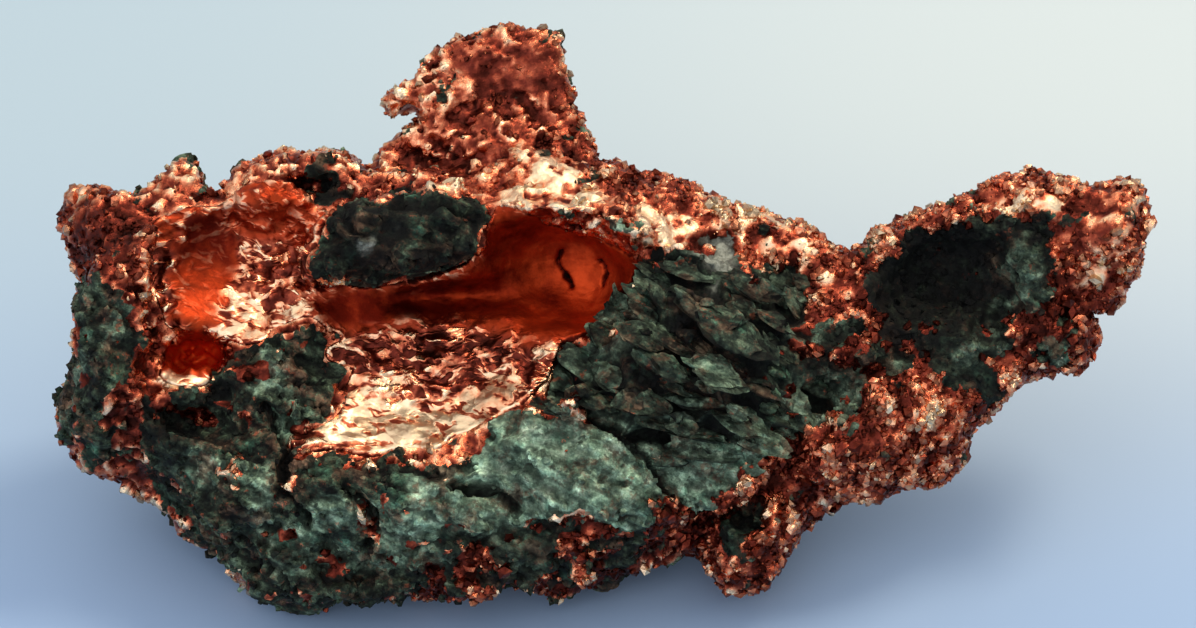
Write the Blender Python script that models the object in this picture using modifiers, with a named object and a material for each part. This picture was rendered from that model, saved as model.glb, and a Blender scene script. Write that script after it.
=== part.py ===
"""A nugget of native copper, 65 mm long, with green rock still grown into it.

The nugget is one piece. It is laid out upright in its own broad face: X runs along its length, Z up the
face and Y into the nugget, away from the face. It then leans back and rests on its low underside.
Places and sizes are in millimetres until the finished mesh is scaled to metres.
"""

import math
import random

import bmesh
import bpy
from mathutils import Matrix, Vector

NODE = "copper_nugget"
LEAN_BACK = math.radians(40)  # of the broad face from upright
REST_HEIGHT = -1.45  # of the flats it rests on, below the foot of the broad face
TRIANGLES = 9600
BODY_VOXEL = 0.42
SKIN_VOXEL = 0.3
MM = 0.001
# Roughness of each mass: the pattern, the size of its bumps, how high they stand and which level stays put.
BODY_ROUGHNESS = [("CLOUDS", 4.5, 1.7, 0.45), ("VORONOI", 2.6, 1.2, 0.3)]
HOLLOW_ROUGHNESS = [("CLOUDS", 2.4, 0.6, 0.5)]
FIN_ROUGHNESS = [("CLOUDS", 2.2, 0.8, 0.45)]
GROWTH_ROUGHNESS = [("VORONOI", 1.5, 0.8, 0.25)]
# Plates: how deep behind the front they lie, half their thickness and the rounding of their edge.
FACE_PLATE = (2.8, 1.0, 1.5)
FIN_PLATE = (4.6, 0.45, 0.7)
LEAF_DEPTH = 2.0
LEAF_DROOP = math.radians(-20)  # lifts the free edge of a leaf
COPPER_COLOUR = (0.62, 0.24, 0.13, 1.0)
COPPER_ROUGHNESS = 0.4

# The edge of the broad face, clockwise from the corner knob: X and Z.
FACE_EDGE = [
    (-31.5, 25.3), (-29.4, 25.4), (-27.8, 24.9), (-26.4, 25.4), (-25.2, 26.8), (-24.3, 26.1), (-23.3, 24.4),
    (-22.5, 25.5), (-20.9, 26.9), (-19.6, 27.6), (-17.8, 27.2), (-16.3, 27.8), (-15.2, 27.4), (-14.1, 26.1),
    (-8.0, 26.5), (-1.0, 26.8), (1.3, 26.1), (3.1, 25.7), (5.5, 24.8), (7.5, 24.3), (9.1, 23.8),
    (10.7, 23.1), (11.7, 22.7), (12.7, 21.6), (13.9, 21.2), (14.9, 21.5), (15.9, 22.5), (17.5, 23.6),
    (19.1, 24.2), (22.0, 24.8), (23.2, 25.8), (24.7, 26.3), (27.5, 25.8), (29.0, 25.5), (30.6, 25.8),
    (32.0, 26.0), (32.1, 23.9), (31.7, 22.3), (31.0, 20.8), (30.7, 19.4), (30.5, 18.3), (29.3, 18.8),
    (28.1, 18.3), (29.2, 17.4), (28.8, 16.2), (28.0, 14.9), (26.7, 15.1),
    (24.7, 14.8), (23.4, 13.7), (21.5, 13.0), (21.6, 11.3), (21.1, 9.4), (20.2, 8.4), (17.4, 8.0),
    (14.8, 7.4), (12.6, 6.9), (11.0, 5.2), (10.4, 3.6), (9.2, 2.6), (7.8, 2.0), (6.5, 2.7), (6.0, 4.2),
    (3.1, 3.8), (0.8, 2.6), (-2.7, 1.9), (-6.2, 1.9), (-10.2, 1.5), (-12.3, 2.0), (-15.4, 1.2),
    (-18.5, 0.6), (-20.4, 1.8), (-22.1, 3.8), (-24.7, 5.4), (-27.1, 7.4), (-28.9, 8.6), (-30.8, 9.1), (-32.0, 10.7),
    (-32.1, 12.6), (-31.2, 14.8), (-30.8, 17.1), (-30.6, 19.3), (-31.1, 20.6), (-31.9, 21.9), (-32.1, 23.8),
]
FIN_EDGE = [
    (-7.7, 35.2), (-5.3, 35.4), (-2.7, 35.1), (-2.5, 33.7), (-2.3, 32.1), (-2.0, 30.5), (-1.1, 29.1),
    (-0.5, 27.7), (0.5, 25.0), (-12.0, 23.6), (-13.5, 25.6), (-13.8, 27.3), (-13.0, 28.6), (-11.9, 29.3),
    (-11.7, 29.8), (-13.2, 30.0), (-13.3, 31.3), (-11.9, 31.7), (-11.2, 33.0), (-9.8, 34.3),
]
# Each mass is its centre, its half sizes and its turn in the broad face, in degrees anticlockwise. A hollow
# may have one more number: how far it leans back, in degrees.
MASSES = [
    ((-19.0, 5.4, 14.8), (10.5, 6.0, 8.2), 0),  # rear of the left end
    ((-1.5, 6.0, 14.4), (12.5, 6.4, 8.7), 0),  # rear of the middle
    ((-24.6, 3.0, 11.2), (7.2, 6.0, 3.8), -38),  # left flank
    ((-22.8, 4.2, 18.8), (6.6, 5.0, 6.6), 0),  # left shoulder
    ((-29.2, 1.4, 16.8), (1.9, 5.6, 7.6), -3),  # end wall
    ((-29.4, 2.6, 12.6), (2.2, 4.5, 2.8), 0),
    ((-18.4, 1.6, 4.4), (4.2, 4.6, 3.6), -25),  # front foot
    ((-21.0, -0.8, 8.2), (3.6, 3.2, 3.2), 0),
    ((-15.6, -1.8, 7.8), (3.8, 3.0, 2.8), 0),
    ((-9.0, 1.2, 6.6), (8.6, 6.0, 4.7), 3),  # low middle
    ((-0.8, 1.0, 8.4), (6.8, 6.4, 5.2), 18),  # low right
    ((-15.4, -1.0, 8.8), (4.4, 2.5, 1.7), -6),  # lip of the main hollow
    ((-9.4, -1.0, 9.0), (4.6, 2.8, 2.0), 10),
    ((-4.8, -1.2, 11.2), (3.2, 2.8, 2.0), 42),
    ((-11.4, 1.0, 12.4), (7.6, 3.8, 4.6), 18),  # slopes that the hollows are cut into
    ((-4.6, 0.8, 13.8), (3.4, 3.2, 3.0), 40),
    ((-20.6, 0.8, 16.2), (3.8, 3.4, 3.0), 6),
    ((5.0, 0.8, 14.6), (7.4, 5.8, 7.2), 0),  # green mass
    ((-7.0, 5.4, 23.8), (7.6, 3.8, 3.2), 0),  # root of the fin
    ((-3.4, 3.0, 26.0), (3.6, 2.9, 1.6), -25),
    ((4.8, 4.2, 22.4), (7.8, 3.4, 2.5), -22),  # ridge
    ((2.0, 1.0, 22.8), (3.8, 3.0, 0.9), -14),  # ledge along its foot
    ((-3.8, 1.2, 23.8), (4.4, 3.2, 1.0), -8),
    ((-20.0, 3.6, 24.6), (3.2, 3.4, 2.6), 25),  # left rim
    ((-15.8, 4.2, 25.0), (2.8, 3.4, 2.2), 0),
    ((-25.2, 2.6, 24.4), (1.2, 2.6, 1.9), 12),
    ((-29.4, 1.4, 23.1), (2.3, 3.4, 2.0), 0),  # corner knob
    ((13.4, 2.2, 16.8), (5.0, 4.4, 4.4), 10),  # waist
    ((15.6, 1.0, 11.5), (6.0, 3.8, 3.0), 28),  # low wing
    ((8.4, 0.8, 5.4), (2.4, 3.4, 3.2), -20),  # loop knob
    ((21.6, 2.0, 19.4), (6.8, 4.0, 5.0), 18),  # wing
    ((25.4, 1.6, 24.3), (3.2, 2.5, 1.6), 5),
    ((29.3, 0.8, 23.0), (1.9, 2.3, 2.5), -12),  # wing tip
    ((26.8, 1.2, 17.8), (1.9, 2.2, 2.0), -30),
    ((22.4, 2.0, 14.6), (2.6, 2.8, 1.7), 30),
    ((-8.5, 9.3, 11.2), (9.6, 5.2, 4.8), 0),  # rear hump
    ((3.4, 8.4, 11.2), (7.4, 4.8, 4.8), 12),
    ((-20.0, 9.0, 13.0), (6.0, 3.8, 4.6), -15),
]
HOLLOWS = [
    ((-10.4, -3.8, 14.4), (8.6, 2.6, 7.4), 18, 29),  # main hollow: its sloping floor
    ((-8.6, -7.0, 16.2), (11.4, 6.5, 5.6), 22),
    ((-7.4, -3.4, 19.2), (9.0, 5.6, 1.7), 3),  # back of the floor
    ((-3.0, -3.2, 20.4), (5.4, 5.9, 3.8), -6),  # throat under the ridge
    ((-21.2, -2.2, 19.4), (5.2, 2.7, 5.8), 8, 28),  # left hollow: its sloping floor
    ((-20.4, -6.2, 19.8), (5.0, 6.7, 4.8), 14),
    ((-18.6, -3.2, 22.4), (2.6, 4.6, 2.2), -10),
    ((-23.2, -3.4, 20.2), (2.4, 4.0, 4.2), 0),
    ((-24.2, -0.8, 15.5), (2.0, 3.6, 1.6), -8),  # nook
    ((-24.0, -3.0, 11.9), (2.4, 2.4, 1.1), -8),
    ((20.0, -4.2, 20.4), (4.9, 6.2, 3.6), 18),  # wing cup
    ((23.4, -4.2, 18.9), (2.4, 5.2, 3.4), -20),
    ((28.9, -2.0, 24.6), (1.5, 1.8, 1.0), 0),
    ((-17.4, 0.4, 25.9), (1.7, 2.6, 0.8), -8),  # recess in the left rim
    ((27.2, -1.4, 18.0), (1.0, 1.8, 0.7), 50),
    ((-23.2, 2.6, 26.5), (0.8, 7.0, 1.7), -10),  # notches in the upper edge
    ((-14.3, 3.6, 27.8), (0.6, 7.0, 1.2), 0),
    ((29.4, 0.8, 18.1), (1.3, 5.0, 0.4), 14),  # and in the edge under the wing tip
    ((8.0, -2.7, 6.4), (1.8, 2.8, 1.3), 30),  # loop
    ((-4.2, -5.6, 5.4), (8.6, 2.4, 0.75), 4),  # groove under the pale band
    ((1.4, -5.6, 10.0), (2.3, 1.8, 0.32), -40),  # cracks
    ((3.7, -4.6, 7.2), (0.3, 2.2, 1.5), 0),
    ((5.8, -5.4, 15.8), (3.0, 1.6, 0.55), -26),
    ((6.4, -5.0, 12.9), (2.6, 1.5, 0.45), -12),
    ((-14.0, 14.6, 16.5), (6.0, 3.4, 3.0), 20),  # behind
    ((1.0, 14.4, 18.0), (5.0, 3.4, 2.4), -25),
    ((18.6, 8.4, 18.6), (4.4, 3.4, 2.2), 20),
    ((-25.0, 10.2, 16.0), (3.4, 2.6, 4.6), 20),
]
FIN_MASSES = [
    ((-5.8, 3.8, 27.6), (4.6, 1.6, 2.6), -14),
    ((-9.6, 4.0, 30.0), (1.3, 1.3, 3.4), -38),
]
FIN_HOLLOWS = [
    ((-12.1, 4.6, 29.6), (1.3, 3.0, 0.55), 38),  # gap under the hook
]
GROWTHS = [
    ((-13.0, -1.0, 22.6), (4.0, 2.8, 2.2), 8),  # dark lump across the hollows
    ((-9.6, -0.7, 23.6), (2.5, 2.8, 1.9), -12),
    ((-15.6, -1.2, 21.4), (2.2, 2.2, 1.3), 24),
    ((-11.4, -2.4, 21.8), (2.2, 1.8, 1.1), -6),
    ((-14.2, -2.4, 22.6), (1.5, 1.8, 1.3), 20),
    ((-10.6, -2.3, 23.4), (1.4, 1.7, 1.1), -20),
    ((-12.6, -1.8, 24.2), (1.3, 1.9, 0.9), 4),
    ((-8.6, -2.1, 22.6), (1.3, 1.5, 1.0), -30),
    ((-24.3, -0.6, 13.9), (2.0, 1.8, 0.45), 4),  # lip of the nook
    ((-18.9, 0.0, 14.2), (2.9, 1.7, 1.1), -34),  # knot between the hollows
    ((-17.2, -1.0, 12.8), (1.2, 1.4, 1.0), 20),
    ((-20.4, -1.0, 12.6), (2.0, 1.6, 1.3), 10),
    ((7.8, -2.4, 8.3), (2.9, 1.2, 0.6), 33),  # bar over the loop
    ((-1.6, -4.6, 13.2), (1.6, 1.6, 1.0), 30),
]

# Leaves of the green mass: X and Z of the middle, half length, half thickness and turn.
LEAVES = [
    (6.0, 18.0, 3.7, 0.75, -33), (7.4, 17.1, 2.2, 0.5, -36), (4.6, 16.6, 1.4, 0.5, -37),
    (6.6, 14.5, 1.9, 0.6, -22), (4.8, 18.7, 1.2, 0.45, -30), (5.7, 13.5, 1.6, 0.45, -9),
    (7.4, 12.0, 1.7, 0.5, -13), (8.5, 10.6, 1.0, 0.4, -9), (2.2, 16.7, 1.3, 0.5, -18),
    (2.0, 19.0, 1.3, 0.5, -51), (-2.2, 13.8, 1.3, 0.45, -22), (5.4, 21.0, 2.2, 0.7, -21),
    (6.8, 21.8, 1.3, 0.55, 84), (10.1, 17.3, 1.2, 0.5, -43), (9.5, 15.8, 1.1, 0.45, -31),
    (3.2, 14.6, 1.7, 0.5, -24), (1.6, 13.2, 1.5, 0.45, -16), (4.2, 11.7, 1.7, 0.5, -10),
    (9.2, 13.6, 1.4, 0.45, -18), (8.6, 19.6, 1.5, 0.5, -30), (3.0, 20.6, 1.1, 0.5, -30),
]
GREEN_CENTRE = (5.0, 0.8, 14.6)
GREEN_HALF = (7.4, 5.8, 7.2)

# Lines of crumbled grains: the line in X, Y and Z, the grain radius and the spread about the line.
GRAIN_LINES = [
    ([(-31.0, 1.0, 24.4), (-28.6, 0.0, 24.7), (-26.8, 0.4, 24.5), (-25.2, 1.6, 25.6)], 0.62, 0.4),
    ([(-26.8, -2.4, 23.6), (-27.2, -3.2, 19.5), (-27.6, -3.2, 15.5), (-27.6, -2.4, 11.6)], 0.62, 0.5),
    ([(-30.1, 0.5, 20.5), (-30.1, 0.0, 16.5), (-30.5, 0.6, 12.0)], 0.62, 0.7),
    ([(-21.6, 1.4, 25.2), (-19.6, 1.4, 26.4), (-16.2, 2.0, 26.7)], 0.72, 0.5),
    ([(-13.2, 3.6, 25.6), (-12.7, 4.0, 28.0)], 0.5, 0.3),
    ([(-11.5, 4.6, 31.4), (-9.8, 4.8, 32.8), (-5.4, 4.8, 34.2), (-3.3, 4.8, 33.8)], 0.5, 0.3),
    ([(-2.8, 4.6, 31.6), (-1.8, 4.2, 28.8), (-0.8, 3.6, 26.6), (2.0, 3.6, 25.0)], 0.62, 0.45),
    ([(-6.4, 1.2, 25.2), (-2.2, 0.6, 25.0), (1.6, 0.8, 24.2), (4.8, 1.0, 23.0)], 0.7, 0.5),
    ([(2.2, 3.4, 25.0), (7.0, 3.2, 23.3), (11.4, 2.8, 21.9), (13.6, 2.4, 20.4)], 0.7, 0.8),
    ([(13.4, 1.6, 20.4), (15.2, 1.0, 20.8), (17.6, 0.6, 22.9), (22.0, 0.8, 24.2), (25.0, 1.0, 25.5)], 0.66, 0.5),
    ([(23.4, 0.4, 24.4), (27.4, 0.2, 25.2), (31.0, 0.2, 25.4), (31.4, 0.4, 22.2), (29.8, 0.2, 20.0)], 0.66, 0.6),
    ([(25.2, -0.6, 22.4), (25.0, -1.2, 19.4), (23.8, -0.6, 16.8)], 0.66, 0.6),
    ([(28.2, 0.4, 17.4), (27.6, 0.2, 16.2), (25.2, 0.6, 15.8), (22.6, 1.2, 13.8)], 0.62, 0.45),
    ([(19.2, -1.0, 15.2), (20.8, -0.6, 13.4), (20.2, 0.0, 10.8), (17.8, -0.2, 9.5), (12.6, -0.2, 8.2)], 0.7, 0.7),
    ([(17.6, -2.0, 13.5), (15.0, -2.4, 11.5), (11.4, -2.6, 9.9)], 0.7, 0.9),
    ([(10.6, -1.2, 6.4), (10.0, -0.6, 3.6), (8.0, -0.4, 2.6), (6.4, -0.8, 3.6)], 0.66, 0.5),
    ([(10.6, -1.6, 17.4), (12.6, -2.0, 15.4), (15.4, -1.8, 15.6)], 0.62, 1.0),
    ([(-20.6, -1.4, 2.8), (-17.4, -1.6, 1.8), (-12.2, -1.4, 2.4), (-6.4, -2.2, 2.6), (-0.6, -2.4, 3.4)], 0.66, 0.7),
    ([(-24.0, 8.4, 20.6), (-18.0, 9.4, 21.0), (-12.0, 9.6, 20.0), (-6.0, 9.4, 21.6)], 0.8, 0.8),
    ([(-6.0, 10.8, 18.8), (0.0, 10.6, 16.0), (6.0, 9.6, 18.4)], 0.8, 0.8),
    ([(6.0, 7.0, 21.4), (12.0, 5.6, 19.4), (18.0, 5.6, 21.6), (26.0, 4.0, 23.0)], 0.8, 0.7),
    ([(-17.6, -2.6, 9.6), (-14.2, -2.8, 9.4), (-9.8, -3.0, 9.8), (-6.0, -3.2, 12.0)], 0.5, 0.4),
]
GRAIN_SPACING = 0.95


def empty_scene():
    for thing in list(bpy.data.objects):
        bpy.data.objects.remove(thing, do_unlink=True)


def add_collection(name):
    collection = bpy.data.collections.new(name)
    bpy.context.scene.collection.children.link(collection)
    return collection


def move_to(collection, thing):
    for home in list(thing.users_collection):
        home.objects.unlink(thing)
    collection.objects.link(thing)


def add_mass(centre, half_sizes, turn, lean=0, rounds=4):
    bpy.ops.mesh.primitive_ico_sphere_add(subdivisions=rounds, radius=1)
    mass = bpy.context.object
    turned = Matrix.Rotation(-math.radians(turn), 4, "Y") @ Matrix.Rotation(-math.radians(lean), 4, "X")
    place = Matrix.Translation(centre) @ turned
    mass.data.transform(place @ Matrix.Diagonal((*half_sizes, 1)))
    return mass


def add_plate(edge, depth, half_thickness, rounding):
    """A flat plate drawn by its edge in X and Z, with the edge rounded and kept to the drawn size."""
    outline = bpy.data.curves.new("plate", "CURVE")
    outline.dimensions = "2D"
    outline.fill_mode = "BOTH"
    outline.extrude = half_thickness
    outline.bevel_depth = rounding
    outline.bevel_resolution = 2
    outline.offset = -rounding
    spline = outline.splines.new("POLY")
    spline.points.add(len(edge) - 1)
    for point, (x, z) in zip(spline.points, edge):
        point.co = (x, z, 0, 1)
    spline.use_cyclic_u = True
    plate = bpy.data.objects.new("plate", outline)
    bpy.context.collection.objects.link(plate)
    bpy.ops.object.select_all(action="DESELECT")
    plate.select_set(True)
    bpy.context.view_layer.objects.active = plate
    bpy.ops.object.convert(target="MESH")
    plate = bpy.context.object
    plate.data.transform(Matrix.Translation((0, depth, 0)) @ Matrix.Rotation(math.radians(90), 4, "X"))
    return plate


def add_leaf(x, z, half_length, half_thickness, turn):
    """A thin lens standing out of the front of the green mass."""
    across = (x - GREEN_CENTRE[0]) / GREEN_HALF[0]
    up = (z - GREEN_CENTRE[2]) / GREEN_HALF[2]
    bulge = math.sqrt(max(0.0, 1 - across * across - up * up))
    depth = GREEN_CENTRE[1] - GREEN_HALF[1] * bulge
    leaf = add_mass((0, 0, 0), (half_length, LEAF_DEPTH, half_thickness), 0, rounds=3)
    tip_forward = Matrix.Rotation(LEAF_DROOP, 4, "X")
    turn_in_face = Matrix.Rotation(-math.radians(turn), 4, "Y")
    leaf.data.transform(Matrix.Translation((x, depth, z)) @ turn_in_face @ tip_forward)
    return leaf


def add_grains(line, radius, spread, chance):
    """Small lumps strung along a line, scattered about it."""
    grains = []
    points = [Vector(point) for point in line]
    for start, end in zip(points, points[1:]):
        count = max(1, round((end - start).length / GRAIN_SPACING))
        for index in range(count):
            stray = Vector([chance.uniform(-spread, spread) for _ in range(3)])
            centre = start.lerp(end, (index + 0.5) / count) + stray
            size = radius * chance.uniform(0.7, 1.5)
            half_sizes = [size * chance.uniform(0.75, 1.25) for _ in range(3)]
            grains.append(add_mass(centre, half_sizes, chance.uniform(0, 180), rounds=2))
    return grains


def join(masses):
    bpy.ops.object.select_all(action="DESELECT")
    for mass in masses:
        mass.select_set(True)
    bpy.context.view_layer.objects.active = masses[0]
    bpy.ops.object.join()
    return masses[0]


def apply(thing, kind, **settings):
    bpy.context.view_layer.objects.active = thing
    modifier = thing.modifiers.new(kind.lower(), kind)
    for name, value in settings.items():
        setattr(modifier, name, value)
    bpy.ops.object.modifier_apply(modifier=modifier.name)


def fuse(masses, voxel):
    whole = join(masses)
    apply(whole, "REMESH", mode="VOXEL", voxel_size=voxel, use_smooth_shade=False)
    return whole


def roughen(thing, roughness, voxel):
    """Raise and sink the surface by each pattern in turn, then mend the places where it folds into itself."""
    for pattern, size, height, level in roughness:
        texture = bpy.data.textures.new(pattern.lower(), pattern)
        texture.noise_scale = size
        apply(thing, "DISPLACE", texture=texture, texture_coords="LOCAL", strength=height, mid_level=level)
    return fuse([thing], voxel)


def cut(thing, hollows, name, cutters):
    """Cut the hollows out, and keep their cutter among the others."""
    cutter = fuse([add_mass(*hollow) for hollow in hollows], SKIN_VOXEL)
    cutter = roughen(cutter, HOLLOW_ROUGHNESS, SKIN_VOXEL)
    cutter.name = name
    apply(thing, "BOOLEAN", operation="DIFFERENCE", object=cutter, solver="EXACT")
    move_to(cutters, cutter)
    cutter.display_type = "WIRE"
    cutter.hide_render = True


def give_copper(thing):
    copper = bpy.data.materials.new("native_copper")
    copper.use_nodes = True
    surface = copper.node_tree.nodes["Principled BSDF"]
    surface.inputs["Base Color"].default_value = COPPER_COLOUR
    surface.inputs["Metallic"].default_value = 1.0
    surface.inputs["Roughness"].default_value = COPPER_ROUGHNESS
    thing.data.materials.clear()
    thing.data.materials.append(copper)


def keep_largest_piece(thing):
    bm = bmesh.new()
    bm.from_mesh(thing.data)
    left = set(bm.verts)
    pieces = []
    while left:
        piece = {left.pop()}
        edge = list(piece)
        while edge:
            vert = edge.pop()
            for link in vert.link_edges:
                other = link.other_vert(vert)
                if other not in piece:
                    piece.add(other)
                    edge.append(other)
        left -= piece
        pieces.append(piece)
    pieces.sort(key=len)
    for piece in pieces[:-1]:
        bmesh.ops.delete(bm, geom=list(piece), context="VERTS")
    bm.to_mesh(thing.data)
    bm.free()


def rest_flat(thing):
    """Cut the underside level, so that the nugget stands on flats, and set it down on the ground."""
    bm = bmesh.new()
    bm.from_mesh(thing.data)
    everything = bm.verts[:] + bm.edges[:] + bm.faces[:]
    cut = bmesh.ops.bisect_plane(
        bm, geom=everything, plane_co=(0, 0, REST_HEIGHT), plane_no=(0, 0, 1), clear_inner=True, dist=0.02
    )
    rims = [item for item in cut["geom_cut"] if isinstance(item, bmesh.types.BMEdge)]
    bmesh.ops.holes_fill(bm, edges=rims, sides=0)
    bmesh.ops.triangulate(bm, faces=[face for face in bm.faces if len(face.verts) > 3])
    bmesh.ops.remove_doubles(bm, verts=bm.verts, dist=0.05)
    bmesh.ops.recalc_face_normals(bm, faces=bm.faces)
    bm.to_mesh(thing.data)
    bm.free()
    corners = [vert.co for vert in thing.data.vertices]
    lowest = [min(corner[axis] for corner in corners) for axis in range(3)]
    highest = [max(corner[axis] for corner in corners) for axis in range(3)]
    middle = [(low + high) / 2 for low, high in zip(lowest, highest)]
    thing.data.transform(Matrix.Translation((-middle[0], -middle[1], -lowest[2])))


def main():
    empty_scene()
    parts = add_collection("native_copper_nugget")
    cutters = add_collection("cutters")
    chance = random.Random(8)
    body = fuse([add_plate(FACE_EDGE, *FACE_PLATE)] + [add_mass(*mass) for mass in MASSES], BODY_VOXEL)
    body = roughen(body, BODY_ROUGHNESS, BODY_VOXEL)
    cut(body, HOLLOWS, "hollows", cutters)

    fin = fuse([add_plate(FIN_EDGE, *FIN_PLATE)] + [add_mass(*mass) for mass in FIN_MASSES], SKIN_VOXEL)
    fin = roughen(fin, FIN_ROUGHNESS, SKIN_VOXEL)
    cut(fin, FIN_HOLLOWS, "fin_hollows", cutters)
    growths = fuse([add_mass(*growth) for growth in GROWTHS], SKIN_VOXEL)
    growths = roughen(growths, GROWTH_ROUGHNESS, SKIN_VOXEL)
    leaves = [add_leaf(*leaf) for leaf in LEAVES]
    grains = [grain for line in GRAIN_LINES for grain in add_grains(*line, chance)]
    nugget = fuse([body, fin, growths] + leaves + grains, SKIN_VOXEL)
    keep_largest_piece(nugget)
    move_to(parts, nugget)
    nugget.name = NODE
    nugget.data.name = NODE
    apply(nugget, "DECIMATE", ratio=TRIANGLES / (2 * len(nugget.data.polygons)))
    nugget.data.transform(Matrix.Rotation(-LEAN_BACK, 4, "X"))
    rest_flat(nugget)
    nugget.data.transform(Matrix.Scale(MM, 4))
    give_copper(nugget)


main()
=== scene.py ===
# Native copper nugget with green rock grown into it: skin, lining, crumbs, leaves, floor, light and camera.
import math
from functools import partial

import bmesh
import bpy
import numpy as np
from mathutils import Matrix, Vector, noise
from mathutils.bvhtree import BVHTree


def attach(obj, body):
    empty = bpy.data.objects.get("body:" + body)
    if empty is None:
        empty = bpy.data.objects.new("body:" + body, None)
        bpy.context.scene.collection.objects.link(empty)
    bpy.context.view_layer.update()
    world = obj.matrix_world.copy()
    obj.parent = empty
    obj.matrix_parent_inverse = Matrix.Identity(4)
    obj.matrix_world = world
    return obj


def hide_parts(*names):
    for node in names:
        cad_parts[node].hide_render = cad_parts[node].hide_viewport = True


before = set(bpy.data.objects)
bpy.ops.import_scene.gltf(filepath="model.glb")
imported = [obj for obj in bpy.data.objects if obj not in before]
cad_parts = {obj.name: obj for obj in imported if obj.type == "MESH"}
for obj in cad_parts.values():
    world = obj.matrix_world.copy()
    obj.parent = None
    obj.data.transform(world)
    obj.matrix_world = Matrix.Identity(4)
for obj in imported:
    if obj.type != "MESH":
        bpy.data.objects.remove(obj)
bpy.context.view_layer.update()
bpy.ops.object.select_all(action="DESELECT")

mm = 0.001
leanBack = math.radians(40)  # of the broad face
setDown = (0.099, -12.599, 1.468)  # mm, the move that stands the leaned nugget on the ground
faceToWorld = Matrix.Scale(mm, 4) @ Matrix.Translation(setDown) @ Matrix.Rotation(-leanBack, 4, "X")
worldToFace = faceToWorld.inverted()

# Outlines on the broad face in mm, along it and up it.
foilWall = [
    (-17.1, 18.9), (-16.0, 19.7), (-14.2, 19.8), (-12.0, 19.7), (-10.2, 20.4), (-7.9, 21.1), (-7.2, 22.6),
    (-6.4, 24.5), (-5.0, 24.5), (-3.5, 23.5), (-1.0, 22.8), (0.7, 22.1), (2.1, 21.1), (1.3, 19.7),
    (0.3, 18.8), (-0.3, 17.4), (-1.9, 16.8), (-2.9, 16.2), (-5.0, 16.8), (-7.3, 17.4), (-9.6, 17.8),
    (-12.0, 17.4), (-14.3, 17.1), (-16.0, 17.2), (-17.0, 17.7),
]
foilFloor = [
    (-16.7, 16.1), (-15.7, 16.7), (-14.3, 17.1), (-12.0, 17.5), (-9.6, 18.1), (-7.3, 17.5), (-5.0, 16.9),
    (-2.7, 16.4), (-3.3, 14.9), (-4.3, 13.5), (-5.0, 12.5), (-6.2, 12.4), (-6.9, 11.7), (-8.5, 11.0),
    (-10.1, 10.3), (-11.7, 10.3), (-13.4, 9.6), (-14.5, 10.0), (-16.1, 10.0), (-17.7, 9.7), (-18.7, 10.6),
    (-17.9, 11.3), (-16.5, 11.8), (-15.7, 12.4), (-15.2, 13.4), (-14.9, 14.2), (-15.8, 14.8), (-16.8, 15.3),
]
foilLeft = [
    (-27.5, 22.6), (-26.7, 23.8), (-25.3, 24.3), (-23.3, 24.5), (-22.3, 25.1), (-20.3, 26.1), (-18.4, 25.5),
    (-16.7, 24.7), (-16.0, 23.9), (-16.8, 22.6), (-17.7, 21.3), (-17.2, 19.7), (-17.1, 18.2), (-18.4, 17.7),
    (-19.5, 16.9), (-20.4, 15.9), (-21.4, 16.2), (-22.1, 16.9), (-22.6, 15.9), (-25.3, 16.3), (-25.9, 17.6),
    (-26.1, 19.1), (-26.7, 21.1),
]
nook = [
    (-26.5, 14.2), (-26.0, 15.9), (-25.4, 16.7), (-24.2, 16.9), (-22.5, 16.3), (-22.9, 14.5), (-23.6, 13.8),
    (-25.2, 13.7),
]
smoothPatch = [
    (-25.4, 22.4), (-24.4, 23.9), (-22.4, 24.2), (-22.1, 21.2), (-23.1, 17.6), (-24.6, 16.3), (-25.6, 19.3),
]
darkLump = [
    (-17.7, 21.0), (-17.3, 21.9), (-16.1, 22.8), (-15.3, 24.2), (-13.8, 24.7), (-12.0, 25.0), (-10.2, 25.4),
    (-8.4, 24.9), (-7.2, 23.9), (-7.4, 22.1), (-7.9, 21.1), (-9.4, 20.4), (-10.8, 19.8), (-13.7, 19.7),
    (-15.6, 20.0), (-17.2, 20.2),
]
leafZone = [
    (0.0, 17.4), (0.3, 18.8), (1.3, 19.7), (2.1, 20.7), (3.8, 21.8), (5.6, 22.0), (6.2, 22.9), (7.5, 23.1),
    (7.9, 20.5), (9.5, 21.1), (11.3, 21.4), (12.1, 19.8), (11.7, 18.2), (11.5, 16.6), (11.4, 14.7),
    (12.8, 13.9), (11.3, 11.9), (10.8, 10.4), (8.7, 9.5), (6.4, 8.3), (4.9, 7.4), (4.1, 7.7), (3.5, 9.0),
    (-0.3, 11.7), (-2.7, 13.0), (-4.4, 13.2), (-3.4, 14.8), (-2.6, 16.6),
]
paleBand = [
    (-6.3, 12.3), (-5.0, 12.8), (-2.7, 12.0), (-0.3, 11.6), (2.0, 10.7), (4.3, 10.0), (7.2, 10.3),
    (9.3, 10.4), (9.0, 9.0), (6.6, 7.2), (5.2, 6.4), (3.9, 6.8), (3.2, 6.9), (0.9, 6.0), (-2.7, 6.6),
    (-3.6, 5.4), (-6.0, 4.9), (-7.9, 5.7), (-10.1, 4.8), (-11.4, 6.1), (-11.2, 7.8), (-9.3, 9.4),
    (-7.3, 10.7),
]
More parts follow.
